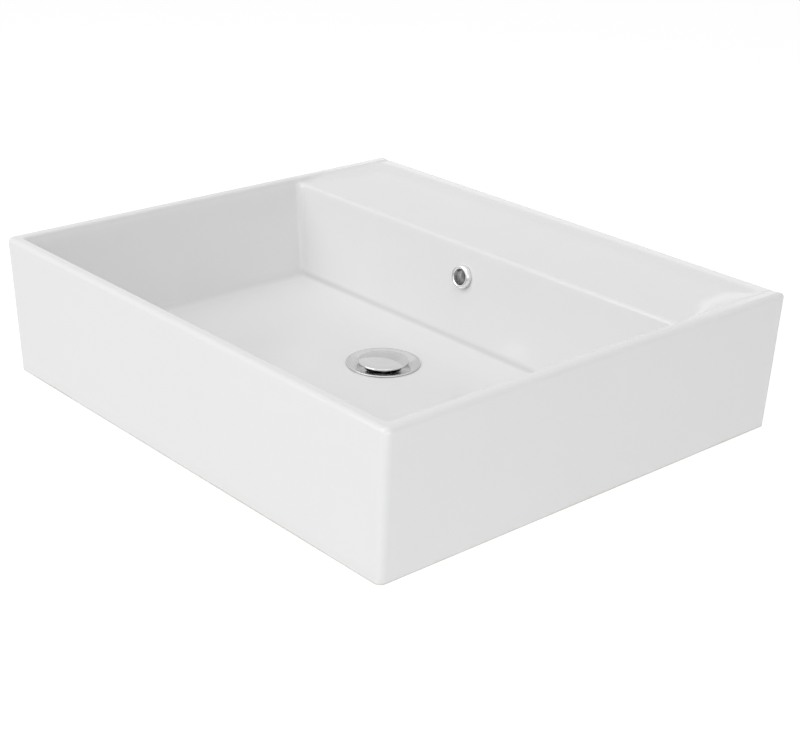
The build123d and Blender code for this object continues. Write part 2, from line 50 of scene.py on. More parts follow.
def newShell():
    # a surface being built: blocks of points, blocks of four-sided faces and the count so far
    return {"points": [], "faces": [], "count": 0}


def addPoints(shell, points):
    # keeps the points and returns their numbers in the shape of their grid
    numbers = np.arange(points[..., 0].size).reshape(points.shape[:-1]) + shell["count"]
    shell["points"].append(points.reshape(-1, 3))
    shell["count"] += numbers.size
    return numbers


def addFaces(shell, a, b, c, d):
    # four-sided faces from four arrays of point numbers, one array for each corner
    shell["faces"].append(np.stack([a.ravel(), b.ravel(), c.ravel(), d.ravel()], 1))


def gridFaces(shell, numbers, keep=None):
    # one face in every cell of the grid, apart from the cells that keep leaves out
    corners = [numbers[:-1, :-1], numbers[1:, :-1], numbers[1:, 1:], numbers[:-1, 1:]]
    if keep is not None:
        corners = [c[keep] for c in corners]
    addFaces(shell, *corners)


def tubeFaces(shell, numbers, closed=True, keep=None):
    # the grid's last column meets its first, and its last row meets its first where the profile is closed
    around = np.concatenate([numbers, numbers[:, :1]], 1)
    if closed:
        around = np.concatenate([around, around[:1]], 0)
    gridFaces(shell, around, keep)


def joinLoops(shell, first, second):
    # a band of faces between two closed loops with as many points
    addFaces(shell, first, np.roll(first, -1), np.roll(second, -1), second)


def windowLoop(numbers, i0, i1, j0, j1):
    # the numbers round a rectangle of the grid, in order
    sides = [numbers[i0:i1, j0], numbers[i1, j0:j1], numbers[i1:i0:-1, j1], numbers[i0, j1:j0:-1]]
    return np.concatenate(sides)


def windowPoints(points, iSpan, jSpan):
    # the points round a rectangle of a grid of points, in the same order
    return np.stack([windowLoop(points[..., k], *iSpan, *jSpan) for k in range(3)], -1)


def edgeLoop(grid):
    # the same round the whole grid
    return windowLoop(grid, 0, grid.shape[0] - 1, 0, grid.shape[1] - 1)


def addObject(name, data):
    item = bpy.data.objects.new(name, data)
    bpy.context.scene.collection.objects.link(item)
    return item


def shellObject(name, shell, sharpAngle=40):
    # points in metres, equal points merged, faces turned outwards, edges over the angle kept sharp
    mesh = bpy.data.meshes.new(name)
    mesh.from_pydata(np.concatenate(shell["points"]) / 1000, [], np.concatenate(shell["faces"]))
    work = bmesh.new()
    work.from_mesh(mesh)
    bmesh.ops.remove_doubles(work, verts=work.verts, dist=2e-6)
    bmesh.ops.dissolve_degenerate(work, edges=work.edges, dist=1e-7)
    bmesh.ops.recalc_face_normals(work, faces=work.faces)
    openEdges = sum(1 for e in work.edges if len(e.link_faces) != 2)
    work.to_mesh(mesh)
    work.free()
    mesh.shade_smooth()
    mesh.set_sharp_from_angle(angle=math.radians(sharpAngle))
    if openEdges:
        print("  open edges in", name, openEdges)
    return addObject(name, mesh)


def finishPiece(piece, body, node, finish):
    # the finish is its name in finishes, which holds its material and a slot name; only the material is given to
    # the piece
    material, slotName = finishes[finish]
    piece.data.materials.clear()
    piece.data.materials.append(material)
    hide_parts(node)
    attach(piece, body)
    return piece


def steppedLines(stops, counts):
    # rising line positions: each stretch between two stops is cut into its count of equal steps
    parts = [np.linspace(a, b, n, endpoint=False) for a, b, n in zip(stops[:-1], stops[1:], counts)]
    return np.append(np.concatenate(parts), stops[-1])


def mirrored(half):
    # lines from zero outwards, and the same lines on the other side of zero
    return np.concatenate([-half[:0:-1], half])


def nearest(lines, low, high):
    # the numbers of the lines nearest to two places
    return int(np.argmin(np.abs(lines - low))), int(np.argmin(np.abs(lines - high)))


def roundedMost(fields, radius):
    # the highest of the fields, with the corner where two meet turned to an arc of that radius
    stack = np.stack(np.broadcast_arrays(*fields))
    over = np.maximum(stack + radius, 0)
    return np.sqrt((over**2).sum(0)) - radius + np.minimum(stack.max(0) + radius, 0)


def roundedLeast(a, b, radius):
    # the lowest of two fields, with the edge between them turned to an arc of that radius
    reach = np.sqrt(np.maximum(radius - a, 0) ** 2 + np.maximum(radius - b, 0) ** 2)
    return np.maximum(radius, np.minimum(a, b)) - reach


def easeIn(t):
    # a climb from 0 to 1 that starts and ends level: three t squared less two t cubed
    t = np.clip(t, 0, 1)
    return t * t * (3 - 2 * t)


def heightWhere(field, x, y, low, high, halvings=34):
    # the height at which a field that rises with z passes zero, by halving the interval
    lowest, highest = np.full(x.shape, float(low)), np.full(x.shape, float(high))
    for step in range(halvings):
        middle = (lowest + highest) / 2
        above = field(x, y, middle) > 0
        highest = np.where(above, middle, highest)
        lowest = np.where(above, lowest, middle)
    return (lowest + highest) / 2


# The ceramic casting

casting = {
    "halfWidth": 254.98, "depth": 435.0, "underside": -68.0, "rim": 56.0, "sideLean": 6.5, "frontLean": 2.6,
    "frontCorner": 6.5, "rearCorner": 2.5, "topEdge": 4.5, "wall": 10,
    "bowlHalf": 243.0, "bowlFront": -423.5, "wallLean": 27 / 90.5, "rearLean": 14.5 / 86.3,
    "ledgeFront": -119.0, "ledgeHeight": 51.8, "ledgeRear": 54.2, "rampStart": -29.0, "rampEnd": -14.0,
    "floor": -34.5, "drain": -36.0, "drainY": -216.0, "bowlRound": 6.8, "rimRound": 2.5, "ledgeRound": 3.0,
    "skirtHalf": 238.5, "skirtFront": -422.4, "backInside": -12.0, "sideDraft": 0.0524, "frontDraft": 0.021,
    "ceiling": 40.8, "ceilingRound": 5.0, "shellFoot": -45.0, "bossFoot": -65.0, "bossRadius": 38.0,
    "ductHalf": 28.0, "ductRear": -92.2, "boltX": 140.0, "boltHole": 8.0, "boltLead": 0.4, "hand": 0.16,
    "floorEdges": (207, -387.5, -142.5), "floorRuns": (162, 126.5, 28.5), "overflow": np.array([0, -123.721, 23.7]),
}

# stops of the grid's lines with the steps between them: close together where the shape turns
castingLines = {
    "topX": ([0, 20, 26, 33, 40, 110, 127, 153, 160, 200, 210.6, 217.7, 242.1, 245.2, 249.4],
             [5, 1, 1, 1, 7, 2, 8, 1, 5, 4, 9, 18, 9, 4]),
    "topFront": ([-429.4, -425.4, -422.6, -398.2, -391.2, -380, -270], [4, 9, 18, 9, 3, 9]),
    "topRear": ([-170, -139.2, -132.3, -126.41, -121.03, -119.6, -116.2, -104, -32, -10, -5],
                [5, 9, 4, 6, 2, 9, 4, 14, 10, 4]),
    "underX": ([0, 9, 18, 25, 27.4, 28.3, 29.3, 32, 45, 52, 127, 153, 200, 206, 236],
               [1, 1, 1, 1, 1, 1, 1, 1, 1, 8, 8, 6, 4, 40]),
    "underFront": ([-419.5, -388, -268], [40, 12]),
    "underRear": ([-168, -130, -108, -96, -90, -17], [10, 18, 4, 8, 27]),
    "drainLines": 9, "drainHalf": 40, "overflowHalf": 16, "overflowY": (-126.41, -121.03), "boltHalf": 13,
    "frontCorners": -250, "endsBeyond": 200, "frontBeyond": -400, "rearBeyond": -60,
    "wallHigh": [44, 34, 24, 17], "wallLow": [-17, -24, -34, -45, -56, -66.9],
}

# the waste's seat, bore, overflow chamber and boss downwards, and the overflow's pocket inwards
wasteHole = [(31.0, -36.3), (22.75, -42.0), (22.75, -47), (30, -47), (30, -57), (22.75, -57), (22.75, -64.4),
             (23.3, -65.0)]
bossRings = [45, 43, 41.5, 40.6, 40.0, 39.5, 39.1, 38.7, 38.3, 37.9, 37.3, 36.6, 35.6, 33, 28, 24.5]
overflowHole = [(9.2, 0.4), (9.2, 9.6), (11.5, 10.2), (11.5, 12.0), (0.001, 12.0)]


def overflowAxes():
    # up the leaning rear wall of the bowl, and square out of it
    tilt = math.atan(casting["rearLean"])
    return np.array([0, math.sin(tilt), math.cos(tilt)]), np.array([0, -math.cos(tilt), math.sin(tilt)])


def handWave(x, y, z):
    # slow unevenness of a hand-finished casting, a tenth or two of a millimetre: two waves whose lengths differ
    flat = np.sin(x / 47 + 1.3 * np.sin(y / 83)) * np.sin(y / 61 + 0.7)
    wave = flat + 0.6 * np.sin(z / 29 + x / 91 + y / 71)
    return casting["hand"] * wave / 1.6


def ledgeTop(x, y):
    # the ledge climbs gently to its raised lip, and its ends run up to the side rims behind the tap place
    c = casting
    slope = (c["ledgeRear"] - c["ledgeHeight"]) / (c["rampStart"] - c["ledgeFront"])
    line = [(c["ledgeFront"] - 20, c["ledgeHeight"] - 20 * slope), (c["ledgeFront"], c["ledgeHeight"]),
            (c["rampStart"] - 4, c["ledgeRear"] - 4 * slope), (c["rampStart"] + 3, c["ledgeRear"] + 0.3),
            (c["rampEnd"] - 2, c["rim"] - 0.15), (c["rampEnd"] + 1.5, c["rim"] + 0.05)]
    base = np.interp(y, *zip(*line))
    width = 1 + 27 * easeIn((y - c["ledgeFront"] - 6) / 48)
    inward = np.clip((c["bowlHalf"] - np.abs(x)) / width, 0, 1)
    climb = (1 - inward) ** 2 * easeIn((y - c["ledgeFront"] - 2) / 40)
    return base + (c["rim"] - base) * climb


def floorTop(x, y):
    # the floor falls from its margin to a flat round the waste
    c = casting
    (sideEdge, frontEdge, rearEdge), (sideRun, frontRun, rearRun) = c["floorEdges"], c["floorRuns"]
    side, front, rear = (sideEdge - np.abs(x)) / sideRun, (y - frontEdge) / frontRun, (rearEdge - y) / rearRun
    share = np.minimum(np.minimum(side, front), rear)
    return c["floor"] + (c["drain"] - c["floor"]) * easeIn(share * 0.93)


def leaningWalls(x, y, z, wall=0):
    # how far a point is outside the bowl's side walls and its front wall, square to them
    c = casting
    lean = (z - c["rim"]) * c["wallLean"]
    level = math.cos(math.atan(c["wallLean"]))
    return (np.abs(x) - c["bowlHalf"] - wall - lean) * level, (c["bowlFront"] - wall - y - lean) * level


def topField(x, y, z):
    # above zero in the open air over the casting, below zero in the ceramic
    c = casting
    wave = handWave(x, y, z)
    side, front = leaningWalls(x, y, z)
    side, front = side + wave, front + wave * 0.7
    rearLevel = math.cos(math.atan(c["rearLean"]))
    rear = (y - c["ledgeFront"] + (c["ledgeHeight"] - z) * c["rearLean"]) * rearLevel + wave * 0.6
    bowl = roundedMost([side, front, rear, floorTop(x, y) - z + wave * 0.5], c["bowlRound"])
    overLedge = roundedMost([ledgeTop(x, y) - z + wave * 0.4, side, front], 2.2)
    hollow = roundedLeast(bowl, overLedge, c["ledgeRound"])
    crown = 0.12 * np.cos(x / 90) * np.cos(y / 70) - 0.12
    return roundedMost([z - c["rim"] - crown, -hollow], c["rimRound"])


def underField(x, y, z):
    # above zero in the ceramic over the recess, below zero in the open recess underneath
    c = casting
    side, front = leaningWalls(x, y, z, c["wall"])
    rear = y - c["ledgeFront"] - c["wall"] + (c["ledgeHeight"] - z) * c["rearLean"]
    bowl = roundedMost([side, front, rear, c["shellFoot"] - z + handWave(x, y, z)], 12)
    foot, draft = c["bossFoot"] - z, 0.05 * (z - c["bossFoot"])
    boss = roundedMost([np.hypot(x, y - c["drainY"]) - c["bossRadius"] - draft, foot], 2.5)
    ductSides = [np.abs(x) - c["ductHalf"] - draft, y - c["ductRear"] - draft, c["drainY"] - y]
    duct = roundedMost([*ductSides, foot], 2.5)
    solid = roundedLeast(bowl, c["ceiling"] - z + handWave(x, y, z), c["ceilingRound"])
    return -roundedLeast(solid, roundedLeast(boss, duct, 1.0), 5.0)


def stretched(value, start, end, heldEnd):
    # a line past start keeps its share of the way, when the way's end moves from heldEnd to end
    return start + (value - start) * (end - start) / (heldEnd - start)


def ringPoints(base, half, front, rear, frontCorner, rearCorner, z):
    # the grid's edge spread onto a rounded rectangle: lines near a corner share out its arc
    x, y, side, arc, edge, held = (base[k] for k in ("x", "y", "side", "arc", "edge", "held"))
    ends, low, high = (castingLines[k] for k in ("endsBeyond", "frontBeyond", "rearBeyond"))
    inFront, inArc = y < castingLines["frontCorners"], arc < edge
    radius = np.where(inFront, frontCorner, rearCorner)
    turn = math.radians(45) * (1 - np.minimum(arc, edge) / edge)
    dip, run = radius * (1 - np.cos(turn)) * inArc, radius * np.sin(turn)
    reach = np.abs(x)
    xStraight = np.where(reach > ends, stretched(reach, ends, half - radius, held["x"]), reach)
    yStraight = np.where(y < low, stretched(y, low, front + radius, held["front"]), y)
    yStraight = np.where(y > high, stretched(y, high, rear - radius, held["rear"]), yStraight)
    sideArc = np.where(inFront, front + radius - run, rear - radius + run)
    onSide = side % 2 == 1
    px = np.sign(x) * np.where(onSide, half - dip, np.where(inArc, half - radius + run, xStraight))
    onFrontOrRear = np.where(side == 0, front + dip, rear - dip)
    py = np.where(onSide, np.where(inArc, sideArc, yStraight), onFrontOrRear)
    return np.stack([px, py, np.broadcast_to(z, px.shape)], -1)


def edgeBase(xLines, yLines, edge=4):
    # what ringPoints needs to know of each point on the grid's edge, in the order of windowLoop: its two
    # lines, its side (0 front, 1 right, 2 rear, 3 left) and its count of lines from the nearest corner
    nx, ny = len(xLines), len(yLines)
    i, j = (edgeLoop(k) for k in np.meshgrid(np.arange(nx), np.arange(ny), indexing="ij"))
    side = np.repeat([0, 1, 2, 3], [nx - 1, ny - 1, nx - 1, ny - 1])
    arc = np.where(side % 2 == 0, np.minimum(i, nx - 1 - i), np.minimum(j, ny - 1 - j))
    held = {"x": xLines[-1 - edge], "front": yLines[edge], "rear": yLines[-1 - edge]}
    return {"x": xLines[i], "y": yLines[j], "side": side, "arc": arc, "edge": edge, "held": held}


def outerRing(base, inset, z, rimDrop):
    # the outside at a height: it leans in downwards, waves a little, and meets the rim's uneven top
    c = casting
    lean = (c["rim"] - z) / (c["rim"] - c["underside"])
    half, front = c["halfWidth"] - c["sideLean"] * lean - inset, -c["depth"] + c["frontLean"] * lean + inset
    corners = max(c["frontCorner"] - inset, 0.4), max(c["rearCorner"] - inset, 0.4)
    points = ringPoints(base, half, front, -inset, *corners, z)
    points[:, 2] -= rimDrop * max(0, 1 - (c["rim"] - z) / 12)
    push = 0.5 * handWave(points[:, 0], points[:, 1], points[:, 2]) - 0.5 * c["hand"]
    push = push * easeIn((base["arc"] - 3) / 8) * easeIn((51 - z) / 10) * easeIn((z + 67) / 10)
    points[:, 0] += np.where(base["side"] == 1, push, np.where(base["side"] == 3, -push, 0))
    points[:, 1] += np.where(base["side"] == 0, -push, 0)
    return points


def skirtRing(base, inset, z, *corners):
    # the skirt's inner face at a height: straight at the back, leaning outwards upwards on the other sides
    c = casting
    climb = z - c["underside"]
    half, front = c["skirtHalf"] + c["sideDraft"] * climb, c["skirtFront"] - c["frontDraft"] * climb
    return ringPoints(base, half - inset, front + inset, c["backInside"] - inset, *corners, z)


def turnLoop(numbers, points, centre, u, v):
    # a loop's numbers sorted by their angle round a centre, with those angles
    flat = points - centre
    angle = np.arctan2(np.round(flat @ v, 6) + 0.0, np.round(flat @ u, 6) + 0.0)
    order = np.argsort(angle)
    return numbers[order], angle[order], points[order]


def circlePoints(angle, centre, u, v, radius):
    return centre + radius * (np.cos(angle)[:, None] * u + np.sin(angle)[:, None] * v)


def joinCircle(shell, loop, angle, centre, u, v, radius):
    # a band of faces from a loop to a circle, returning the circle's loop
    circle = addPoints(shell, circlePoints(angle, centre, u, v, radius))
    joinLoops(shell, loop, circle)
    return circle


def patchToCircle(shell, loop, angle, loopPoints, centre, u, v, radius, rings):
    # rings that pass from a window's square edge to a circle, returning the circle's loop
    target = circlePoints(angle, centre, u, v, radius)
    for k in range(1, rings + 1):
        share = 1 - (1 - k / rings) ** 1.3
        circle = addPoints(shell, loopPoints * (1 - share) + target * share)
        joinLoops(shell, loop, circle)
        loop = circle
    return loop


def buildCasting():
    # one closed shell: a grid for the top, one for the recess below, and rings of the same count between
    c, lines = casting, castingLines
    shell = newShell()
    xAxis, yAxis, zAxis = np.eye(3)
    halfX = steppedLines(*lines["topX"])
    xLines = mirrored(halfX)
    frontY, rearY = steppedLines(*lines["topFront"]), steppedLines(*lines["topRear"])
    yLines = np.concatenate([frontY, c["drainY"] + mirrored(halfX[:lines["drainLines"]]), rearY])
    cells = len(xLines) - 1, len(yLines) - 1

    gx, gy = np.meshgrid(xLines, yLines, indexing="ij")
    gz = heightWhere(topField, gx, gy, -45, 62)
    topPoints = np.stack([gx, gy, gz], -1)
    top = addPoints(shell, topPoints)
    drain = lines["drainHalf"]
    di, dj = nearest(xLines, -drain, drain), nearest(yLines, c["drainY"] - drain, c["drainY"] + drain)
    oi = nearest(xLines, -lines["overflowHalf"], lines["overflowHalf"])
    oj = nearest(yLines, *lines["overflowY"])
    keep = np.ones(cells, bool)
    keep[slice(*di), slice(*dj)] = False
    keep[slice(*oi), slice(*oj)] = False
    gridFaces(shell, top, keep)

    # rim edge, outer walls, foot and the foot's inner edge
    base = edgeBase(xLines, yLines)
    boltZ = np.linspace(-lines["boltHalf"], lines["boltHalf"], 9)
    turns = [math.radians(90 * k / 8) for k in range(9)]
    edgeRows = [(c["topEdge"] * (1 - math.sin(a)), c["rim"] - c["topEdge"] * (1 - math.cos(a))) for a in turns]
    wallRows = [(0, z) for z in (*lines["wallHigh"], *boltZ[::-1], *lines["wallLow"])]
    rimDrop = c["rim"] - edgeLoop(gz)
    footRows = [(0.12, -67.4), (0.5, -67.85), (1.1, -68)]
    outer = [outerRing(base, *row, rimDrop) for row in edgeRows + wallRows + footRows]
    for half, front, rear, z in ((239.3, -423.2, -11.2, -68.0), (238.6, -422.5, -11.9, -67.2)):
        outer.append(ringPoints(base, half, front, rear, 6, 5, z))
    outerNumbers = addPoints(shell, np.stack(outer))
    outerKeep = np.ones((len(outer) - 1, outerNumbers.shape[1]), bool)
    joinLoops(shell, edgeLoop(top), outerNumbers[0])

    # the recess underneath, with as many lines as the top
    underHalf = steppedLines(*lines["underX"])
    underX = mirrored(underHalf)
    underDrain = c["drainY"] + mirrored(underHalf[:lines["drainLines"]])
    underY = np.concatenate([steppedLines(*lines["underFront"]), underDrain, steppedLines(*lines["underRear"])])
    ux, uy = np.meshgrid(underX, underY, indexing="ij")
    uz = heightWhere(underField, ux, uy, -70, 60)
    underPoints = np.stack([ux, uy, uz], -1)
    under = addPoints(shell, underPoints)
    underKeep = np.ones(cells, bool)
    underKeep[slice(*di), slice(*dj)] = False
    gridFaces(shell, under, underKeep)

    # inner faces of the skirt, from the foot up to the recess's ceiling
    underBase = edgeBase(underX, underY)
    footZ, bend = -67.2, c["ceilingRound"]
    skirtTop = edgeLoop(uz) - bend
    boltShares = [(z - footZ) / (c["ceiling"] - bend - footZ) for z in boltZ]
    lowShares = [0.12, 0.3, 0.45]
    inner = [skirtRing(underBase, 0, footZ + (skirtTop - footZ) * share, 6, 5)
             for share in lowShares + boltShares + [0.9, 1.0]]
    for turn in (math.radians(30), math.radians(60)):
        inner.append(skirtRing(underBase, bend * (1 - math.cos(turn)), skirtTop + bend * math.sin(turn), 5, 4))
    innerNumbers = addPoints(shell, np.stack(inner))
    innerKeep = np.ones((len(inner) - 1, innerNumbers.shape[1]), bool)
    joinLoops(shell, outerNumbers[-1], innerNumbers[0])
    joinLoops(shell, innerNumbers[-1], edgeLoop(under))

    # holes for the wall bolts, through the back
    boltRows = len(boltZ) - 1
    layers = ((outerNumbers, len(edgeRows) + len(lines["wallHigh"]), outerKeep),
              (innerNumbers, len(lowShares), innerKeep))
    for place in (-c["boltX"], c["boltX"]):
        rims = []
        for numbers, row, keepRows in layers:
            near = np.where((base["side"] == 2) & (np.abs(base["x"] - place) < lines["boltHalf"] + 0.01))[0]
            span = row, row + boltRows, near.min(), near.max()
            keepRows[slice(*span[:2]), slice(*span[2:])] = False
            loop = windowLoop(numbers, *span)
            loopPoints = np.concatenate(shell["points"])[loop]
            centre = np.array([place, loopPoints[0, 1], 0.0])
            loop, angle, loopPoints = turnLoop(loop, loopPoints, centre, xAxis, zAxis)
            leadRadius = c["boltHole"] + c["boltLead"]
            loop = patchToCircle(shell, loop, angle, loopPoints, centre, xAxis, zAxis, leadRadius, 3)
            inwards = -c["boltLead"] * np.sign(centre[1] - c["backInside"] / 2)
            rims.append(joinCircle(shell, loop, angle, centre + inwards * yAxis, xAxis, zAxis, c["boltHole"]))
        joinLoops(shell, *rims)
    tubeFaces(shell, outerNumbers, False, outerKeep)
    tubeFaces(shell, innerNumbers, False, innerKeep)

    # waste hole: countersunk seat, overflow chamber and boss
    centre = np.array([0, c["drainY"], c["drain"]])
    loop = windowLoop(top, *di, *dj)
    loop, angle, loopPoints = turnLoop(loop, windowPoints(topPoints, di, dj), centre, xAxis, yAxis)
    level = np.array([0, c["drainY"], loopPoints[:, 2].mean()])
    loop = patchToCircle(shell, loop, angle, loopPoints, level, xAxis, yAxis, 31.5, 5)
    for radius, z in wasteHole:
        loop = joinCircle(shell, loop, angle, np.array([0, c["drainY"], z]), xAxis, yAxis, radius)
    underLoop = windowLoop(under, *di, *dj)
    underLoop, underAngle, around = turnLoop(underLoop, windowPoints(underPoints, di, dj), centre, xAxis, yAxis)
    squareReach = np.hypot(around[:, 0], around[:, 1] - c["drainY"])
    for radius in bossRings:
        share = np.clip((bossRings[0] - radius) / 4, 0, 1)
        blend = 0.5 * (1 - share)
        reach = radius * (1 - blend) + squareReach * blend * 0.97
        angleHere = underAngle * (1 - share) + angle * share
        px, py = reach * np.cos(angleHere), c["drainY"] + reach * np.sin(angleHere)
        circle = addPoints(shell, np.stack([px, py, heightWhere(underField, px, py, -70, 60)], -1))
        joinLoops(shell, underLoop, circle)
        underLoop = circle
    joinLoops(shell, underLoop, loop)

    # overflow hole, square to the leaning rear wall, and the closed pocket behind it
    upWall, outwards = overflowAxes()
    overflow = c["overflow"]
    loop = windowLoop(top, *oi, *oj)
    loop, angle, loopPoints = turnLoop(loop, windowPoints(topPoints, oi, oj), overflow, xAxis, upWall)
    loop = patchToCircle(shell, loop, angle, loopPoints, overflow, xAxis, upWall, 9.6, 3)
    for radius, depth in overflowHole:
        loop = joinCircle(shell, loop, angle, overflow - outwards * depth, xAxis, upWall, radius)
    basin = shellObject("ceramicBasin", shell, 48)
    # the casting carries painted shade for the fillet at the bowl's foot as an attribute
    paintFootShade(basin.data)
    return basin


# painted shade in the fillet at the bowl's foot: where the band lies, and how its strength follows the slope and
# the facing
paintedFootShade = {"half": 232, "front": -425, "rear": -118, "lowest": -40, "highest": -8, "round": 40,
           "flattest": 0.34, "range": 0.63, "least": 0.35, "facing": 1.6}


def paintFootShade(mesh):
    # painted shade at the bowl's foot, a darker band kept as an attribute: strongest half way round the fillet, by
    # the slope there, and stronger where the surface faces the front
    place, slope = (np.empty(len(mesh.vertices) * 3, np.float32) for k in range(2))
    mesh.vertices.foreach_get("co", place)
    mesh.vertex_normals.foreach_get("vector", slope)
    x, y, z = (place.reshape(-1, 3) * 1000).T
    forward, up = slope.reshape(-1, 3)[:, 1], slope.reshape(-1, 3)[:, 2]
    p = paintedFootShade
    foot = (np.abs(x) < p["half"]) & (y > p["front"]) & (y < p["rear"]) & (up > 0)
    foot &= (z > p["lowest"]) & (z < p["highest"]) & (np.hypot(x, y - casting["drainY"]) > p["round"])
    share = np.clip((up - p["flattest"]) / p["range"], 0, 1)
    facing = p["least"] + (1 - p["least"]) * np.clip(-forward * p["facing"], 0, 1)
    footShade = np.where(foot, 4 * share * (1 - share), 0) * facing
    mesh.attributes.new("paintedFootShade", "FLOAT", "POINT").data.foreach_set("value", footShade.astype(np.float32))


# Shader parts

def feed(tree, value, socket):
    # a socket is linked, and a plain value is set
    if isinstance(value, bpy.types.NodeSocket):
        tree.links.new(value, socket)
    else:
        socket.default_value = value


def addNode(tree, kind, **inputs):
    # a node with its named inputs fed; an underscore stands for a space
    node = tree.nodes.new(kind)
    for label, value in inputs.items():
        feed(tree, value, node.inputs[label.replace("_", " ")])
    return node


def mathNode(tree, operation, first, second=None, clamp=False):
    # one sum on sockets or plain numbers, giving its output socket
    node = tree.nodes.new("ShaderNodeMath")
    node.operation, node.use_clamp = operation, clamp
    feed(tree, first, node.inputs[0])
    if second is not None:
        feed(tree, second, node.inputs[1])
    return node.outputs[0]


def makeGroup(name, values, results):
    # a group that takes a vector and named numbers, and gives named masks
    group = bpy.data.node_groups.new(name, "ShaderNodeTree")
    group.interface.new_socket("Vector", in_out="INPUT", socket_type="NodeSocketVector")
    for label, value in values.items():
        socket = group.interface.new_socket(label, in_out="INPUT", socket_type="NodeSocketFloat")
        socket.default_value = value
    for label in results:
        group.interface.new_socket(label, in_out="OUTPUT", socket_type="NodeSocketFloat")
    return group, group.nodes.new("NodeGroupInput").outputs, group.nodes.new("NodeGroupOutput").inputs


def makeMottle():
    # soft patches and fine grain together: 0.7 of slow noise and 0.3 of quick noise
    scales = {"Patch Scale": 30.0, "Grain Scale": 400.0}
    group, given, result = makeGroup("softMottle", scales, ["Mask", "Grain"])
    details = {"Patch Scale": 3.0, "Grain Scale": 2.0}
    slow, quick = (addNode(group, "ShaderNodeTexNoise", Vector=given["Vector"], Scale=given[label],
                           Detail=detail).outputs["Fac"] for label, detail in details.items())
    slowPart, quickPart = mathNode(group, "MULTIPLY", slow, 0.7), mathNode(group, "MULTIPLY", quick, 0.3)
    feed(group, mathNode(group, "ADD", slowPart, quickPart), result["Mask"])
    feed(group, quick, result["Grain"])
    return group


def makeSpots():
    # dried water spots: thin rings at the rim of round cells, only where a slow noise lets them
    group, given, result = makeGroup("waterSpots", {"Scale": 120.0, "Share": 0.5}, ["Mask"])
    cells = addNode(group, "ShaderNodeTexVoronoi", Vector=given["Vector"], Scale=given["Scale"])
    rim = mathNode(group, "ABSOLUTE", mathNode(group, "SUBTRACT", cells.outputs["Distance"], 0.26))
    thinRing = mathNode(group, "SUBTRACT", 1.0, mathNode(group, "DIVIDE", rim, 0.05), clamp=True)
    where = addNode(group, "ShaderNodeTexNoise", Vector=given["Vector"], Scale=38.0)
    allowed = mathNode(group, "GREATER_THAN", given["Share"], where.outputs["Fac"])
    feed(group, mathNode(group, "MULTIPLY", thinRing, allowed), result["Mask"])
    return group


def makeTurning():
    # fine circles about the upright axis: noise over the distance from it and the height, both counted in
    # steps of the spacing
    group, given, result = makeGroup("turningMarks", {"Spacing": 0.0004}, ["Mask", "Height"])
    split = addNode(group, "ShaderNodeSeparateXYZ", Vector=given["Vector"]).outputs
    squares = [mathNode(group, "MULTIPLY", split[k], split[k]) for k in (0, 1)]
    reach = mathNode(group, "SQRT", mathNode(group, "ADD", *squares))
    across = addNode(group, "ShaderNodeCombineXYZ", X=mathNode(group, "DIVIDE", reach, given["Spacing"]),
                     Z=mathNode(group, "DIVIDE", split[2], given["Spacing"]))
    noise = addNode(group, "ShaderNodeTexNoise", Vector=across.outputs[0], Scale=1.0, Detail=1.0).outputs["Fac"]
    feed(group, noise, result["Height"])
    steps = mathNode(group, "MULTIPLY", mathNode(group, "SUBTRACT", noise, 0.5), 2.5)
    feed(group, mathNode(group, "ADD", steps, 0.5, clamp=True), result["Mask"])
    return group


groups = {"mottle": makeMottle(), "spots": makeSpots(), "turning": makeTurning()}
print("shader groups made:", len(groups))


def shade(color, factor):
    # a colour made darker or lighter, up to white
    return tuple(min(v * factor, 1.0) for v in color)


class Finish:
    # one material being wired: its tree, its shader and the object's own coordinates

    def __init__(self, name, color, metallic=0.0, roughness=0.3):
        self.material = bpy.data.materials.new(name)
        self.material.use_nodes = True
        self.tree = self.material.node_tree
        self.tree.nodes.clear()
        self.shader = addNode(self.tree, "ShaderNodeBsdfPrincipled", Base_Color=(*color, 1), Metallic=metallic,
                              Roughness=roughness, IOR=1.5)
        addNode(self.tree, "ShaderNodeOutputMaterial", Surface=self.shader.outputs[0])
        self.place = self.tree.nodes.new("ShaderNodeTexCoord").outputs["Object"]

    def link(self, start, label):
        self.tree.links.new(start, self.shader.inputs[label])

    def group(self, key, vector=None, **values):
        node = self.tree.nodes.new("ShaderNodeGroup")
        node.node_tree = groups[key]
        for label, value in {"Vector": vector or self.place, **values}.items():
            feed(self.tree, value, node.inputs[label.replace("_", " ")])
        return node.outputs

    def centred(self, location):
        # the object's coordinates moved so that a place is their zero
        mapping = addNode(self.tree, "ShaderNodeMapping", Vector=self.place)
        mapping.vector_type = "TEXTURE"
        mapping.inputs["Location"].default_value = location
        return mapping.outputs[0]

    def math(self, operation, first, second=None, clamp=False):
        return mathNode(self.tree, operation, first, second, clamp)

    def between(self, mask, low, high):
        # a mask from 0 to 1 spread between two numbers
        return self.math("ADD", self.math("MULTIPLY", mask, high - low), low)

    def mixColor(self, mask, first, second):
        # first where the mask is 0, second where it is 1
        node = self.tree.nodes.new("ShaderNodeMix")
        node.data_type = "RGBA"
        for number, value in ((0, mask), (6, first), (7, second)):
            feed(self.tree, (*value, 1) if isinstance(value, tuple) else value, node.inputs[number])
        return node.outputs[2]

    def bump(self, height, distance, strength):
        # each bump is laid on the one before it
        node = addNode(self.tree, "ShaderNodeBump", Distance=distance, Strength=strength, Height=height)
        before = self.shader.inputs["Normal"]
        if before.is_linked:
            self.tree.links.new(before.links[0].from_socket, node.inputs["Normal"])
        self.tree.links.new(node.outputs[0], before)


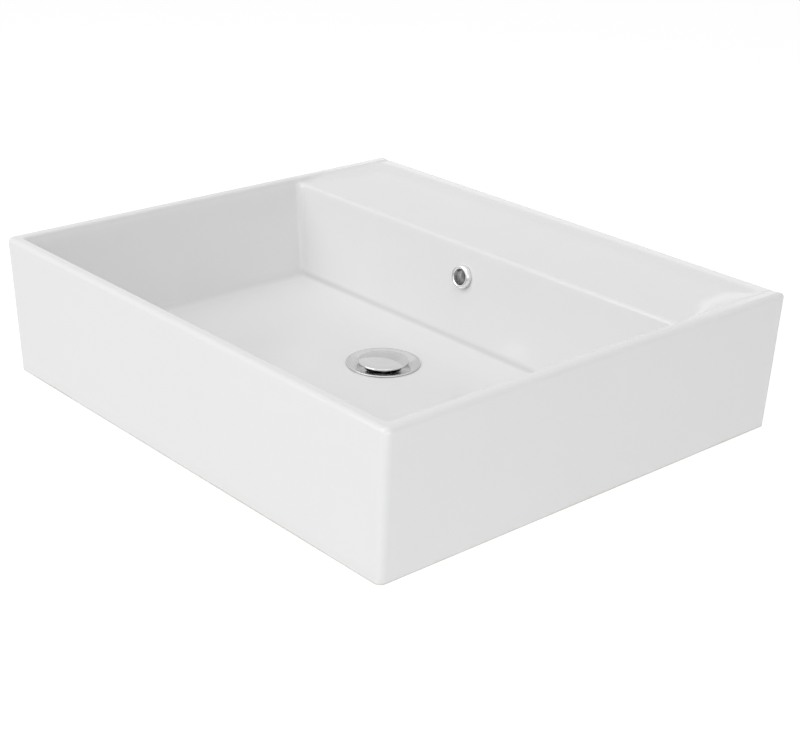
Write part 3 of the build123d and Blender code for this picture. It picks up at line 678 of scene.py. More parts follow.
# the darkest glaze colour, 0.70, is painted shade for the fillet at the bowl's foot
glazeLook = {
    "thin": (0.848, 0.849, 0.848), "thick": (0.876, 0.876, 0.875), "run": (0.835, 0.836, 0.836),
    "shadedFoot": (0.70, 0.70, 0.70), "gloss": (0.1, 0.18), "clayDark": (0.70, 0.675, 0.63),
    "clayLight": (0.80, 0.785, 0.75), "clayRough": 0.75, "bareBelow": -0.0662, "bareBehind": -0.0016,
    "edgeWobble": 0.004,
}


def glazeFinish():
    # white glaze, glossy and faintly uneven, with painted shade darkening it at the bowl's foot, over bare fired
    # clay on the foot and the back
    g = glazeLook
    f = Finish("whiteGlaze", (0.86, 0.86, 0.853), roughness=0.1)
    mottle = f.group("mottle", Patch_Scale=22.0, Grain_Scale=260.0)
    spots = f.group("spots", Scale=85.0, Share=0.42)
    split = addNode(f.tree, "ShaderNodeSeparateXYZ", Vector=f.place)
    wobble = f.math("MULTIPLY", f.math("SUBTRACT", mottle["Mask"], 0.5), g["edgeWobble"])
    foot = f.math("LESS_THAN", f.math("ADD", split.outputs[2], wobble), g["bareBelow"])
    back = f.math("GREATER_THAN", f.math("ADD", split.outputs[1], wobble), g["bareBehind"])
    bare = f.math("MAXIMUM", foot, back)
    # runs are the same mottle drawn out downwards, and the painted shade at the bowl's foot is the attribute that
    # the casting carries
    stretch = addNode(f.tree, "ShaderNodeMapping", Vector=f.place, Scale=(1, 1, 0.1))
    runs = f.group("mottle", stretch.outputs[0], Patch_Scale=26.0, Grain_Scale=300.0)
    shadedFoot = f.tree.nodes.new("ShaderNodeAttribute")
    shadedFoot.attribute_name = "paintedFootShade"
    glaze = f.mixColor(mottle["Mask"], g["thin"], g["thick"])
    glaze = f.mixColor(f.math("MULTIPLY", runs["Mask"], 0.5), glaze, g["run"])
    # painted shade: the glaze darkens towards 0.70 in the fillet at the bowl's foot
    glaze = f.mixColor(shadedFoot.outputs["Fac"], glaze, g["shadedFoot"])
    clay = f.mixColor(mottle["Grain"], g["clayDark"], g["clayLight"])
    f.link(f.mixColor(bare, glaze, clay), "Base Color")
    gloss = f.math("ADD", f.between(mottle["Mask"], *g["gloss"]), f.math("MULTIPLY", spots["Mask"], 0.06))
    f.link(f.math("MAXIMUM", gloss, f.math("MULTIPLY", bare, g["clayRough"])), "Roughness")
    f.bump(mottle["Mask"], 0.00025, 0.35)
    f.bump(f.math("MULTIPLY", mottle["Grain"], bare), 0.00012, 0.8)
    return f.material


def chromeFinish(name, centre, tint=0.64, low=0.07, high=0.2):
    # plated metal: fine polishing circles, soft wear and a few dried spots
    f = Finish(name, (tint, tint * 1.003, tint * 1.008), metallic=1.0, roughness=0.12)
    turning = f.group("turning", f.centred(centre), Spacing=0.00045)
    mottle = f.group("mottle", Patch_Scale=55.0, Grain_Scale=900.0)
    spots = f.group("spots", Scale=260.0, Share=0.5)
    f.link(f.mixColor(turning["Mask"], (tint * 0.93,) * 3, (tint * 1.04,) * 3), "Base Color")
    wear = f.math("ADD", f.math("MULTIPLY", mottle["Mask"], 0.6), f.math("MULTIPLY", turning["Mask"], 0.4))
    f.link(f.math("ADD", f.between(wear, low, high), f.math("MULTIPLY", spots["Mask"], 0.12)), "Roughness")
    f.bump(turning["Height"], 0.00003, 0.5)
    f.bump(spots["Mask"], 0.00002, 0.6)
    return f.material


def metalFinish(name, color, centre, rough=(0.25, 0.45)):
    # cut or plated fastener metal, with the marks of its tool and slight darkening
    f = Finish(name, color, metallic=1.0, roughness=0.35)
    turning = f.group("turning", f.centred(centre), Spacing=0.0006)
    mottle = f.group("mottle", Patch_Scale=90.0, Grain_Scale=1100.0)
    f.link(f.mixColor(mottle["Mask"], shade(color, 0.82), shade(color, 1.08)), "Base Color")
    f.link(f.between(mottle["Mask"], *rough), "Roughness")
    f.bump(turning["Height"], 0.00006, 0.5)
    f.bump(mottle["Grain"], 0.00003, 0.4)
    return f.material


def softFinish(name, color, rough, grain):
    # moulded rubber or plastic: an even colour with faint clouding and a fine moulded grain
    f = Finish(name, color, roughness=rough)
    mottle = f.group("mottle", Patch_Scale=70.0, Grain_Scale=grain)
    f.link(f.mixColor(mottle["Mask"], shade(color, 0.9), shade(color, 1.06)), "Base Color")
    f.link(f.between(mottle["Mask"], rough * 0.85, min(rough * 1.15, 1.0)), "Roughness")
    f.bump(mottle["Grain"], 0.00006, 0.6)
    return f.material


# each finish has its material and the name of the slot that it stands for
wasteCentre = (0.0, -0.216, -0.036)
finishes = {
    "glaze": (glazeFinish(), "glaze"),
    "chrome": (chromeFinish("polishedChrome", wasteCentre), "chrome"),
    "capChrome": (chromeFinish("capChrome", wasteCentre, 0.63, 0.05, 0.14), "chrome"),
    "ringChrome": (chromeFinish("overflowChrome", (0.0, -0.1237, 0.0237), 0.87, 0.1, 0.24), "chrome"),
    "rubber": (softFinish("blackRubber", (0.035, 0.035, 0.037), 0.62, 900.0), "rubber"),
    "whitePlastic": (softFinish("whitePlastic", (0.74, 0.74, 0.72), 0.38, 600.0), "white_plastic"),
    "acetal": (softFinish("acetal", (0.70, 0.69, 0.64), 0.33, 500.0), "acetal"),
    "brass": (metalFinish("turnedBrass", (0.72, 0.53, 0.26), wasteCentre), "brass"),
    "zincSteel": (metalFinish("zincPlatedSteel", (0.62, 0.63, 0.65), (0.14, 0.0, 0.0)), "zinc_steel"),
    "springSteel": (metalFinish("springSteel", (0.50, 0.50, 0.51), wasteCentre, (0.2, 0.35)), "spring_steel"),
}
print("materials made:", len(finishes))

basin = finishPiece(buildCasting(), "basin", "basin_body", "glaze")
print("casting built:", len(basin.data.polygons), "faces")

# Turned pieces: a profile of radius and height carried round an axis

boltAxes = np.array([[1, 0, 0], [0, 0, 1], [0, 1, 0]])
places = {
    "waste": (np.array([0, casting["drainY"], -34.8]), np.eye(3)),
    "overflow": (casting["overflow"], np.stack([np.array([1, 0, 0]), *overflowAxes()])),
    "leftBolt": (np.array([-casting["boltX"], 0, 0]), boltAxes),
    "rightBolt": (np.array([casting["boltX"], 0, 0]), boltAxes),
}


def softened(corners, closed=True, cut=5):
    # a profile whose corners are turned to arcs; a corner is its radius, its height and its arc
    out, count = [], len(corners)
    for k, (radius, height, arc) in enumerate(corners):
        corner = np.array([radius, height], float)
        if arc <= 0 or (not closed and k in (0, count - 1)):
            out.append(corner[None])
            continue
        before, after = (np.array(corners[n % count][:2]) - corner for n in (k - 1, k + 1))
        lengths = np.linalg.norm(before), np.linalg.norm(after)
        before, after = before / lengths[0], after / lengths[1]
        half = math.acos(np.clip(before @ after, -1, 1)) / 2
        reach = min(arc / math.tan(half), 0.48 * min(lengths))
        arc = reach * math.tan(half)
        middle = corner + (before + after) / np.linalg.norm(before + after) * arc / math.sin(half)
        first, last = corner + before * reach - middle, corner + after * reach - middle
        turn = np.linspace(0, 1, cut + 1)[:, None]
        spread = math.acos(np.clip(first @ last / arc**2, -1, 1))
        arcPoints = (first * np.sin((1 - turn) * spread) + last * np.sin(turn * spread)) / math.sin(spread)
        out.append(middle + arcPoints)
    return np.concatenate(out)


def straight(heights, radius):
    # profile points at one radius
    return np.stack([np.full(len(heights), radius), heights], 1)


def turned(shell, place, profile, around=96, reshape=None):
    # point (row, column): the row's radius out at the column's angle, and its height along the axis
    origin, axes = places[place]
    angle = np.arange(around) * 2 * math.pi / around
    radius = np.repeat(profile[:, :1], around, 1)
    height = np.repeat(profile[:, 1:2], around, 1)
    if reshape:
        radius, height = reshape(radius, height, angle)
    flat = np.stack([radius * np.cos(angle), radius * np.sin(angle), height], -1)
    return addPoints(shell, origin + flat @ axes)


def simpleTurned(name, spots, corners, closed=True, around=96, cut=5, reshape=None, sharpAngle=40):
    # one profile with softened corners carried round the axis of each spot
    shell = newShell()
    for place in spots:
        tubeFaces(shell, turned(shell, place, softened(corners, closed, cut), around, reshape), closed)
    return shellObject(name, shell, sharpAngle)


def thread(pitch, depth, low, high, lead, sharp):
    # a screw thread between two heights: the radius dips once each pitch, and fades out at the ends
    def reshape(radius, height, angle):
        phase = 0.5 - 0.5 * np.cos(2 * math.pi * (height / pitch - angle / (2 * math.pi)))
        inside = easeIn((height - low) / lead) * easeIn((high - height) / lead)
        return radius - depth * inside * (1 - (1 - phase) ** sharp), height
    return reshape


def hexagon(flats, low, high, crisp=70):
    # six flats between two heights: the radius to the nearest flat, with slightly worn corners
    def reshape(radius, height, angle):
        turns = [np.cos(angle - math.radians(30 + 60 * k)) for k in range(6)]
        toFlats = np.stack([np.maximum(turn, 0) ** crisp for turn in turns]).sum(0)
        reach = flats / 2 / toFlats ** (1 / crisp)
        outside = (radius > flats * 0.4) & (height > low - 1) & (height < high + 1)
        return np.where(outside, np.minimum(radius, reach), radius), height
    return reshape


def nutCorners(flats, low, high, bore, chamfer=1.2):
    # a nut's profile: its bore with a small lead, and its corners turned off at both faces
    corner = flats / 2 / math.cos(math.radians(30))
    run = min(chamfer, (high - low) / 4)
    lead = min(0.5, run)
    return [(bore, low + lead, 0), (bore + lead, low, 0.1), (corner - run, low, 0.15),
            (corner, low + run / 2, 0.1), (corner, (low + high) / 2, 0), (corner, high - run / 2, 0.1),
            (corner - run, high, 0.15), (bore + lead, high, 0.1), (bore, high - lead, 0)]


waste = {
    "flange": 32.75, "flangeEdge": 0.9, "land": 31.0, "dishFoot": -4.4, "bore": 16.4, "seat": 31.0,
    "root": -6.2, "thread": 20.95, "pitch": 2.309, "threadDepth": 1.15, "slotTop": -13.7, "slotFoot": -20.7,
    "slotHalf": 9, "slotSteps": 24, "slotAngles": (90, 210, 330), "reliefTop": -47.4, "reliefFoot": -49.2,
    "relief": 1.0,
    "chamfer": 1.0, "foot": -73.2, "around": 96, "spiderFoot": -35.0, "spiderThick": 7.0, "spiderAround": 240,
    "hub": 8.5, "hubBore": 4.05, "spoke": 3.5,
}


def spiderReach(angle, w):
    # how far the spider reaches at an angle: its hub, or a spoke whose sides are straight
    turn = (angle + math.pi / 2 + math.pi / 3) % (2 * math.pi / 3) - math.pi / 3
    side = w["spoke"] / 2 / np.maximum(np.abs(np.sin(turn)), 1e-4)
    end = (w["bore"] + 0.25) / np.cos(turn)
    spoke = np.minimum(side, end)
    foot = 0.5 * np.exp(-(((side - w["hub"]) / 2.2) ** 2)) * (side < end)
    return w["hub"] + np.maximum(spoke - w["hub"], 0) + foot


def wasteProfile(w):
    # from the bore over the dished flange, down the threaded wall with its relief, and up the bore again;
    # with it the rows at which the overflow slots begin, outside and inside
    top = softened([(w["bore"], -6.0, 0), (w["bore"], w["dishFoot"], 0.7), (w["land"], 0, 3.5),
                    (w["flange"], 0, 0.5), (w["flange"], -w["flangeEdge"], 0.15),
                    (w["seat"], -w["flangeEdge"], 0.4),
                    (w["thread"], w["root"], 0.6), (w["thread"], -8.2, 0)], closed=False, cut=8)
    slotRows = np.linspace(w["slotTop"], w["slotFoot"], w["slotSteps"] + 1)
    aboveSlots = np.linspace(-8.6, w["slotTop"], 18)[:-1]
    belowSlots = np.linspace(w["slotFoot"], w["reliefTop"], 94)[1:]
    insideFoot = np.linspace(w["foot"] + 0.5, w["slotFoot"], 12)[:-1]
    upper = straight(np.concatenate([aboveSlots, slotRows, belowSlots]), w["thread"])
    groove = straight([w["reliefTop"], w["reliefFoot"]], w["thread"] - w["relief"])
    lower = straight(np.linspace(w["reliefFoot"], w["foot"] + w["chamfer"], 82), w["thread"])
    end = [(w["thread"] - w["chamfer"], w["foot"]), (w["bore"] + 0.5, w["foot"])]
    inner = straight(np.concatenate([insideFoot, slotRows[::-1], [-8.0]]), w["bore"])
    profile = np.concatenate([top, upper, groove, lower, end, inner])
    return profile, len(top) + len(aboveSlots), len(profile) - len(inner) + len(insideFoot)


def buildWaste():
    # the profile carried round, with its slots left out of the grid, and the spider as a flat turned shape
    w = waste
    shell = newShell()
    profile, outerRow, innerRow = wasteProfile(w)
    upperThread = thread(w["pitch"], w["threadDepth"], -9.5, w["reliefTop"] + 0.1, 1.2, 1.3)
    lowerThread = thread(w["pitch"], w["threadDepth"], w["foot"] + 0.2, w["reliefFoot"] - 0.1, 1.2, 1.3)

    def cutThreads(radius, height, angle):
        onWall = (radius > w["thread"] - 0.1) & (radius < w["thread"] + 0.1)
        upperRadius, lowerRadius = (cut(radius, height, angle)[0] for cut in (upperThread, lowerThread))
        return np.where(onWall, np.minimum(upperRadius, lowerRadius), radius), height

    numbers = turned(shell, "waste", profile, w["around"], cutThreads)
    keep = np.ones(numbers.shape, bool)
    steps = w["slotSteps"]
    wide = np.concatenate([numbers, numbers[:, :w["slotHalf"]]], 1)
    for middle in (int(w["around"] * t / 360) for t in w["slotAngles"]):
        low, high = middle - w["slotHalf"], middle + w["slotHalf"]
        for row in (outerRow, innerRow):
            keep[row:row + steps, np.arange(low, high) % w["around"]] = False
        outerLoop = windowLoop(wide[outerRow:outerRow + steps + 1], 0, steps, low, high)
        innerLoop = windowLoop(wide[innerRow:innerRow + steps + 1][::-1], 0, steps, low, high)
        joinLoops(shell, outerLoop, innerLoop)
    tubeFaces(shell, numbers, True, keep)

    # spider rows run from the hub's bore to its outline: share of the way out, height, and inset of the edge
    thick, edge = w["spiderThick"], ((1, 0, 0.5), (1, 0.15, 0.15), (1, 0.5, 0))
    topEdge = [(out, thick - rise, inset) for out, rise, inset in edge[::-1]]
    rows = np.array([(0, 0.5, 0), (0.04, 0, 0), *edge, *topEdge, (0.04, thick, 0), (0, thick - 0.5, 0)])
    angle = np.arange(w["spiderAround"]) * 2 * math.pi / w["spiderAround"]
    reach = spiderReach(angle, w)[None] - rows[:, 2:3]
    radius = w["hubBore"] + (reach - w["hubBore"]) * rows[:, :1]
    height = np.repeat(w["spiderFoot"] + rows[:, 1:2], w["spiderAround"], 1)
    origin, axes = places["waste"]
    flat = np.stack([radius * np.cos(angle), radius * np.sin(angle), height], -1)
    tubeFaces(shell, addPoints(shell, origin + flat @ axes))
    return shellObject("wasteBody", shell, 35)


cap = {"radius": 22.3, "foot": 0.3, "rim": 1.8, "crown": 3.5, "edge": 0.55, "seat": 18.25, "sealTop": 1.1,
       "hollow": 13.2, "ceiling": 2.6, "boss": 5.0, "bossFoot": 0.9, "bore": 3.05}


def buildCap():
    # a dome that is part of a sphere, a rounded edge, and the hollow with its seal seat and boss underneath
    c = cap
    ball = (c["radius"] ** 2 + c["crown"] ** 2) / (2 * c["crown"])
    reach = np.linspace(0, c["radius"] - 1.0, 26)
    dome = np.stack([reach, np.sqrt(ball**2 - reach**2) - ball + c["rim"] + c["crown"]], 1)
    under = softened([(c["radius"] - 1.0, dome[-1, 1], 0), (c["radius"], c["rim"], c["edge"] + 0.25),
                      (c["radius"], c["foot"], c["edge"]), (c["seat"], c["foot"], 0.25),
                      (c["seat"], c["sealTop"], 0.1), (c["hollow"], c["sealTop"], 0.2),
                      (c["hollow"], c["ceiling"], 0.6), (c["boss"], c["ceiling"], 0.5),
                      (c["boss"], c["bossFoot"], 0.3), (c["bore"], c["bossFoot"], 0.15),
                      (c["bore"], c["ceiling"], 0), (0, c["ceiling"], 0)], closed=False, cut=6)
    shell = newShell()
    tubeFaces(shell, turned(shell, "waste", np.concatenate([dome[:-1], under]), 144), False)
    return shellObject("popUpCap", shell, 50)


ring = {"radius": 10.7, "shoulder": 3.0, "crown": 8.9, "height": 5.2, "lip": 7.3, "lipHeight": 4.3,
        "sleeve": 8.2, "length": 9.0, "seat": 0.05}


def buildRing():
    # a bead of two quarter ellipses, and the sleeve behind it
    r = ring
    turn = np.linspace(0, math.pi / 2, 12)
    rise, drop = r["height"] - r["shoulder"], r["height"] - r["lipHeight"]
    outside = [r["crown"] + (r["radius"] - r["crown"]) * np.cos(turn), r["shoulder"] + rise * np.sin(turn)]
    inside = [r["crown"] - (r["crown"] - r["lip"]) * np.sin(turn), r["lipHeight"] + drop * np.cos(turn)]
    sleeve = [(r["lip"], -2.0), (r["lip"], -r["length"] + 0.3), (r["lip"] + 0.3, -r["length"]),
              (r["sleeve"] - 0.3, -r["length"]), (r["sleeve"], -r["length"] + 0.3), (r["sleeve"], r["seat"]),
              (r["radius"] - 0.25, r["seat"]), (r["radius"], r["seat"] + 0.25), (r["radius"], 1.6)]
    shell = newShell()
    profile = np.concatenate([np.stack(outside, 1), np.stack(inside, 1)[1:], sleeve])
    tubeFaces(shell, turned(shell, "overflow", profile))
    return shellObject("overflowRing", shell, 50)


teeth = {"count": 6, "height": 0.8}


def toothed(level, into):
    # slanted teeth on one face: the height climbs and drops once for each tooth
    def reshape(radius, height, angle):
        climb = (angle * teeth["count"] / (2 * math.pi)) % 1
        step = teeth["height"] * np.minimum(climb / 0.8, (1 - climb) / 0.2)
        return radius, np.where(np.abs(height - level) < 0.02, height + into * step, height)
    return reshape


cartridge = {
    "housing": 6.6, "bore": 4.8, "rim": -6.65, "foot": -27.95, "well": -26.5, "stud": 4.0, "studFoot": -38.0,
    "neck": 3.0, "neckTop": 2.55, "collarTop": -8.05, "collarFoot": -11.95, "collar": 4.74, "pin": 1.9,
    "pinFoot": -19.95, "cam": 4.72, "camTop": -12.0, "camFoot": -15.9, "camBore": 1.98,
    "springRadius": 3.7, "wire": 0.7, "turns": 6, "springFoot": -26.45, "springTop": -15.95, "travel": 2.75,
}


def buildSpring():
    # a wire carried along a helix whose end turns lie flat
    c = cartridge
    path = np.linspace(0, 1, 240)
    climb = c["springTop"] - c["springFoot"] - c["wire"]
    lift = c["springFoot"] + c["wire"] / 2 + climb * (0.25 * path + 0.75 * easeIn((path - 0.04) / 0.92))
    angle = path * c["turns"] * 2 * math.pi
    wire = c["wire"] / 2 * np.minimum(np.minimum(path, 1 - path) * 600, 1)
    around = np.arange(14) * 2 * math.pi / 14
    radius = c["springRadius"] + wire[:, None] * np.cos(around)
    height = lift[:, None] + wire[:, None] * np.sin(around)
    points = np.stack([radius * np.cos(angle)[:, None], radius * np.sin(angle)[:, None], height], -1)
    shell = newShell()
    tubeFaces(shell, addPoints(shell, places["waste"][0] + points), False)
    return shellObject("returnSpring", shell, 60)


fixing = {
    "bolt": 4.9, "screw": 5.1, "neck": 4.4, "neckLength": 3.0, "end": -33.15, "reach": 60.0, "tip": 50.0,
    "pitch": 1.5, "threadDepth": 0.85, "screwPitch": 4.6, "screwDepth": 1.35,
    "sleeve": 7.8, "sleeveFlange": 14.0, "sleeveFace": -0.3, "flangeFace": -12.05, "flangeEnd": -15.05,
    "bore": 4.95, "washer": 12.5, "washerFace": -15.1, "washerEnd": -17.1, "flats": 17.0, "nutFace": -17.15,
    "nutEnd": -25.15,
}


def buildBolts():
    # a machine thread into the room, a plain neck at the wall, and a wood screw into it
    f = fixing
    machine = straight(np.linspace(f["end"] + 1, -f["neckLength"], 160), f["bolt"])
    neck = straight([-f["neckLength"] + 0.3, -0.02], f["neck"])
    screw = straight(np.linspace(0, f["tip"], 220), f["screw"])
    point = np.linspace(0, 1, 30)[1:]
    tip = np.stack([f["screw"] * (1 - point**1.15), f["tip"] + (f["reach"] - f["tip"]) * point], 1)
    profile = np.concatenate([[(0, f["end"]), (f["bolt"] - 1.0, f["end"])], machine, neck, screw, tip])
    machineThread = thread(f["pitch"], f["threadDepth"], f["end"] + 0.6, -f["neckLength"] - 0.2, 1.0, 1.2)

    def cutThreads(radius, height, angle):
        # the wood screw's ridge is thin: a narrow crest once each pitch, its root fading into the point
        phase = np.abs((height / f["screwPitch"] - angle / (2 * math.pi)) % 1 - 0.5) * 2
        crest = np.clip((phase - 0.62) / 0.3, 0, 1)
        root = f["screwDepth"] * easeIn(height / 3) * np.clip((f["reach"] - height) / 9, 0, 1)
        screwRadius = radius - root * (1 - crest) * (radius > 0.4)
        return np.where(height > 0, screwRadius, machineThread(radius, height, angle)[0]), height

    shell = newShell()
    for place in ("leftBolt", "rightBolt"):
        tubeFaces(shell, turned(shell, place, profile, 48, cutThreads), False)
    return shellObject("wallBolts", shell, 35)


def plungerAndCam():
    # the collar's teeth point down into the cam's, and the pin runs through the cam
    c = cartridge
    shaft = [(0, c["neckTop"], 0), (c["neck"], c["neckTop"], 0.3), (c["neck"], c["collarTop"], 0.2),
             (c["collar"], c["collarTop"], 0.3), (c["collar"], c["collarFoot"], 0),
             (c["pin"], c["collarFoot"], 0), (c["pin"], c["pinFoot"], 0.5), (0, c["pinFoot"], 0)]
    cam = [(c["camBore"], c["camTop"], 0), (c["cam"], c["camTop"], 0), (c["cam"], c["camFoot"], 0.3),
           (c["camBore"], c["camFoot"], 0.2)]
    jobs = [("plunger", "plunger", "plug", shaft, False, (c["collarFoot"], 1)),
            ("indexCam", "index_cam", "cam_ring", cam, True, (c["camTop"], -1))]
    for name, node, body, corners, closed, face in jobs:
        piece = simpleTurned(name, ["waste"], corners, closed, 120, reshape=toothed(*face), sharpAngle=35)
        finishPiece(piece, body, node, "acetal")


atWaste, atBolts = ["waste"], ["leftBolt", "rightBolt"]


def plainPiece(name, node, body, finish, spots, corners, **options):
    finishPiece(simpleTurned(name, spots, corners, **options), body, node, finish)


def plainNut(name, node, body, finish, spots, flats, low, high, bore, chamfer=1.2, around=96):
    # a nut between two heights, with its hexagon across the flats
    plainPiece(name, node, body, finish, spots, nutCorners(flats, low, high, bore, chamfer), around=around,
               reshape=hexagon(flats, low, high))


def buildUnderParts():
    # the fixings under the basin: its underside is 30.2 below the flange's top, and each part lies on the next
    plainPiece("flangeGasket", "flange_gasket", "basin", "rubber", atWaste,
               [(22.8, -5.27, 0.15), (29.0, -2.0, 0.3), (29.0, -2.7, 0.3), (22.8, -7.1, 0.15)])
    boss = -30.2
    plainPiece("taperWasher", "taper_washer", "basin", "rubber", atWaste,
               [(21.0, boss + 2.95, 0.2), (21.85, boss + 2.95, 0.2), (22.7, boss - 0.05, 0),
                (30.0, boss - 0.05, 0.7), (30.0, boss - 3.05, 0.9), (27.0, boss - 6.05, 0.9),
                (21.0, boss - 6.05, 0.3)])
    plainPiece("slipWasher", "slip_washer", "basin", "whitePlastic", atWaste,
               [(21.0, -36.3, 0.1), (29.0, -36.3, 0.5), (29.0, -38.3, 0.5), (21.0, -38.3, 0.1)])
    plainNut("backNut", "back_nut", "basin", "brass", atWaste, 52.0, -47.35, -38.35, 21.0, around=144)


def buildCartridgeParts():
    # housing with its stud, the gland at its mouth and the nut under the spider
    c = cartridge
    plainPiece("cartridgeHousing", "cartridge_housing", "basin", "chrome", atWaste,
               [(0, c["well"], 0), (c["bore"], c["well"], 0.4), (c["bore"], c["rim"], 0.15),
                (c["housing"], c["rim"], 0.3), (c["housing"], c["foot"], 0.4), (c["stud"], c["foot"], 0.15),
                (c["stud"], c["studFoot"], 0.6), (0, c["studFoot"], 0)], closed=False, cut=6)
    plainPiece("cartridgeGland", "cartridge_gland", "basin", "whitePlastic", atWaste,
               [(3.06, -5.0, 0.2), (6.6, -5.0, 0.45), (6.6, -6.6, 0.1), (4.75, -6.6, 0.1), (4.75, -8.0, 0.2),
                (3.06, -8.0, 0.2)])
    plainNut("cartridgeNut", "cartridge_nut", "basin", "brass", atWaste, 12.0, -38.05, -35.05, 4.05, 0.7)
    plainPiece("capSeal", "cap_seal", "plug", "rubber", atWaste,
               [(13.5, -0.9, 0.5), (18.2, -0.9, 0.8), (18.2, 1.05, 0.2), (13.5, 1.05, 0.2)])
    plainNut("capLockNut", "cap_lock_nut", "plug", "brass", atWaste, 10.0, -1.65, 0.85, 3.05, 0.6)


def buildBoltParts():
    # a sleeve in the ceramic, its flange inside, then the washer and the nut
    f = fixing
    plainPiece("boltSleeves", "bolt_sleeves", "basin", "whitePlastic", atBolts,
               [(f["bore"], f["sleeveFace"], 0.3), (f["sleeve"], f["sleeveFace"], 0.5),
                (f["sleeve"], f["flangeFace"], 0.3), (f["sleeveFlange"], f["flangeFace"], 0.4),
                (f["sleeveFlange"], f["flangeEnd"], 0.9), (f["bore"], f["flangeEnd"], 0.3)])
    plainPiece("boltWashers", "bolt_washers", "basin", "zincSteel", atBolts,
               [(f["bore"], f["washerFace"], 0.2), (f["washer"], f["washerFace"], 0.25),
                (f["washer"], f["washerEnd"], 0.45), (f["bore"], f["washerEnd"], 0.3)])
    plainNut("boltNuts", "bolt_nuts", "basin", "zincSteel", atBolts, f["flats"], f["nutEnd"], f["nutFace"],
             f["bore"])


finishPiece(buildWaste(), "basin", "waste_body", "chrome")
finishPiece(buildRing(), "basin", "overflow_ring", "ringChrome")
finishPiece(buildCap(), "plug", "pop_up_cap", "capChrome")
plungerAndCam()
finishPiece(buildBolts(), "basin", "wall_bolts", "zincSteel")
spring = finishPiece(buildSpring(), "basin", "return_spring", "springSteel")
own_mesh(spring)
buildUnderParts()
buildCartridgeParts()
buildBoltParts()
print("waste, overflow ring, cartridge and wall fixings built")

# Floor, light and camera


def lightPathMask(tree):
    # one for the rays that look straight at the background or see it in metal and glass
    path = tree.nodes.new("ShaderNodeLightPath")
    seen = mathNode(tree, "MAXIMUM", path.outputs["Is Camera Ray"], path.outputs["Is Glossy Ray"])
    return mathNode(tree, "MAXIMUM", seen, path.outputs["Is Transmission Ray"])


stage = {"floorHeight": -0.794, "floorHalf": 14.0, "floorColor": 0.8, "floorGlow": 0.60, "worldLight": 0.46}


def buildFloor():
    # the room's floor, 0.85 m under the rim, pale enough to meet the white background, and clear from below
    half, z = stage["floorHalf"], stage["floorHeight"]
    mesh = bpy.data.meshes.new("studioFloor")
    corners = [(-half, -half, z), (half, -half, z), (half, half, z), (-half, half, z)]
    mesh.from_pydata(corners, [], [(0, 1, 2, 3)])
    material = bpy.data.materials.new("studioFloor")
    material.use_nodes = True
    tree = material.node_tree
    tree.nodes.clear()
    diffuse = addNode(tree, "ShaderNodeBsdfDiffuse", Color=(stage["floorColor"],) * 3 + (1,))
    strength = mathNode(tree, "MULTIPLY", lightPathMask(tree), stage["floorGlow"])
    glow = addNode(tree, "ShaderNodeEmission", Strength=strength)
    both, mix = tree.nodes.new("ShaderNodeAddShader"), tree.nodes.new("ShaderNodeMixShader")
    feed(tree, diffuse.outputs[0], both.inputs[0])
    feed(tree, glow.outputs[0], both.inputs[1])
    feed(tree, tree.nodes.new("ShaderNodeNewGeometry").outputs["Backfacing"], mix.inputs[0])
    feed(tree, both.outputs[0], mix.inputs[1])
    feed(tree, tree.nodes.new("ShaderNodeBsdfTransparent").outputs[0], mix.inputs[2])
    addNode(tree, "ShaderNodeOutputMaterial", Surface=mix.outputs[0])
    mesh.materials.append(material)
    addObject("studioFloor", mesh)


def buildWorld():
    # white where it is seen, and weaker as light on the object
    world = bpy.data.worlds.new("studioWorld")
    bpy.context.scene.world = world
    world.use_nodes = True
    tree = world.node_tree
    tree.nodes.clear()
    seen = mathNode(tree, "MULTIPLY", lightPathMask(tree), 1 - stage["worldLight"])
    light = mathNode(tree, "ADD", seen, stage["worldLight"])
    background = addNode(tree, "ShaderNodeBackground", Color=(1, 1, 1, 1), Strength=light)
    addNode(tree, "ShaderNodeOutputWorld", Surface=background.outputs[0])


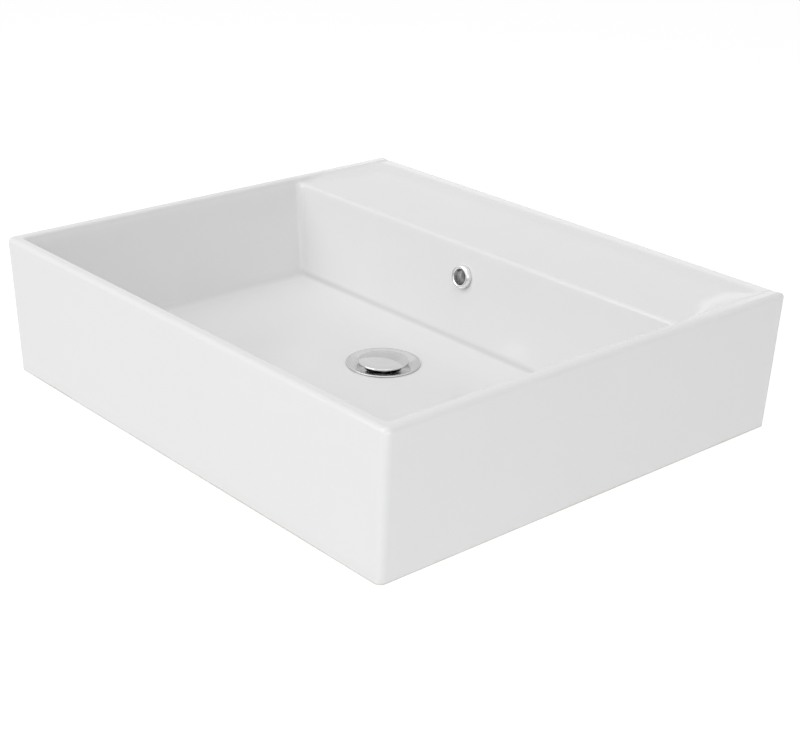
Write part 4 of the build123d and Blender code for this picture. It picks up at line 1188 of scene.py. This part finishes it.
# place, aim and size in metres, power in watts; the last one lights the lip at the wall from behind
lamps = {
    "frontSoftbox": {"place": (-0.9, -2.6, 1.9), "aim": (0, -0.2, 0), "size": (2.4, 1.9), "power": 38},
    "ceilingPanel": {"place": (0.2, -0.6, 2.6), "aim": (0, -0.25, 0), "size": (2.4, 2.4), "power": 13},
    "rightFill": {"place": (3.0, -0.9, 1.0), "aim": (0, -0.2, 0), "size": (2.0, 2.0), "power": 10},
    "lowSideFill": {"place": (2.6, -1.0, -0.38), "aim": (0.25, -0.2, 0), "size": (1.7, 0.6), "power": 9},
    "lowCornerFill": {"place": (0.95, -1.55, -0.3), "aim": (0.2, -0.4, 0), "size": (0.7, 0.5), "power": 2.0},
    "lipCard": {"place": (-0.95, 1.0, 0.475), "aim": (-0.95, 0, 0.475), "size": (1.5, 0.09), "power": 0.32},
}


def buildLamps():
    for name, lamp in lamps.items():
        data = bpy.data.lights.new(name, "AREA")
        data.shape, data.size, data.size_y = "RECTANGLE", *lamp["size"]
        data.energy = lamp["power"]
        item = addObject(name, data)
        item.location = lamp["place"]
        item.rotation_euler = (Vector(lamp["aim"]) - Vector(lamp["place"])).to_track_quat("-Z", "Y").to_euler()


view = {
    "place": (1.01021, -1.09890, 0.52585), "lens": 75.118, "sensor": 36.0, "farthest": 60,
    "right": (0.65834, 0.75232, 0.02450), "down": (0.30957, -0.24094, -0.91984),
    "ahead": (-0.68612, 0.61315, -0.39152),
}


def buildCamera():
    # the photo's camera: its axes are right, up and backwards
    data = bpy.data.cameras.new("photoCamera")
    data.lens, data.sensor_width, data.clip_end = view["lens"], view["sensor"], view["farthest"]
    camera = addObject("photoCamera", data)
    axes = np.stack([np.array(view["right"]), -np.array(view["down"]), -np.array(view["ahead"])], 1)
    matrix = Matrix(axes.tolist()).normalized().to_4x4()
    matrix.translation = Vector(view["place"])
    camera.matrix_world = matrix
    bpy.context.scene.camera = camera


buildFloor()
buildWorld()
buildLamps()
buildCamera()
bpy.context.scene.view_settings.view_transform = "Standard"
print("floor, light and camera set")
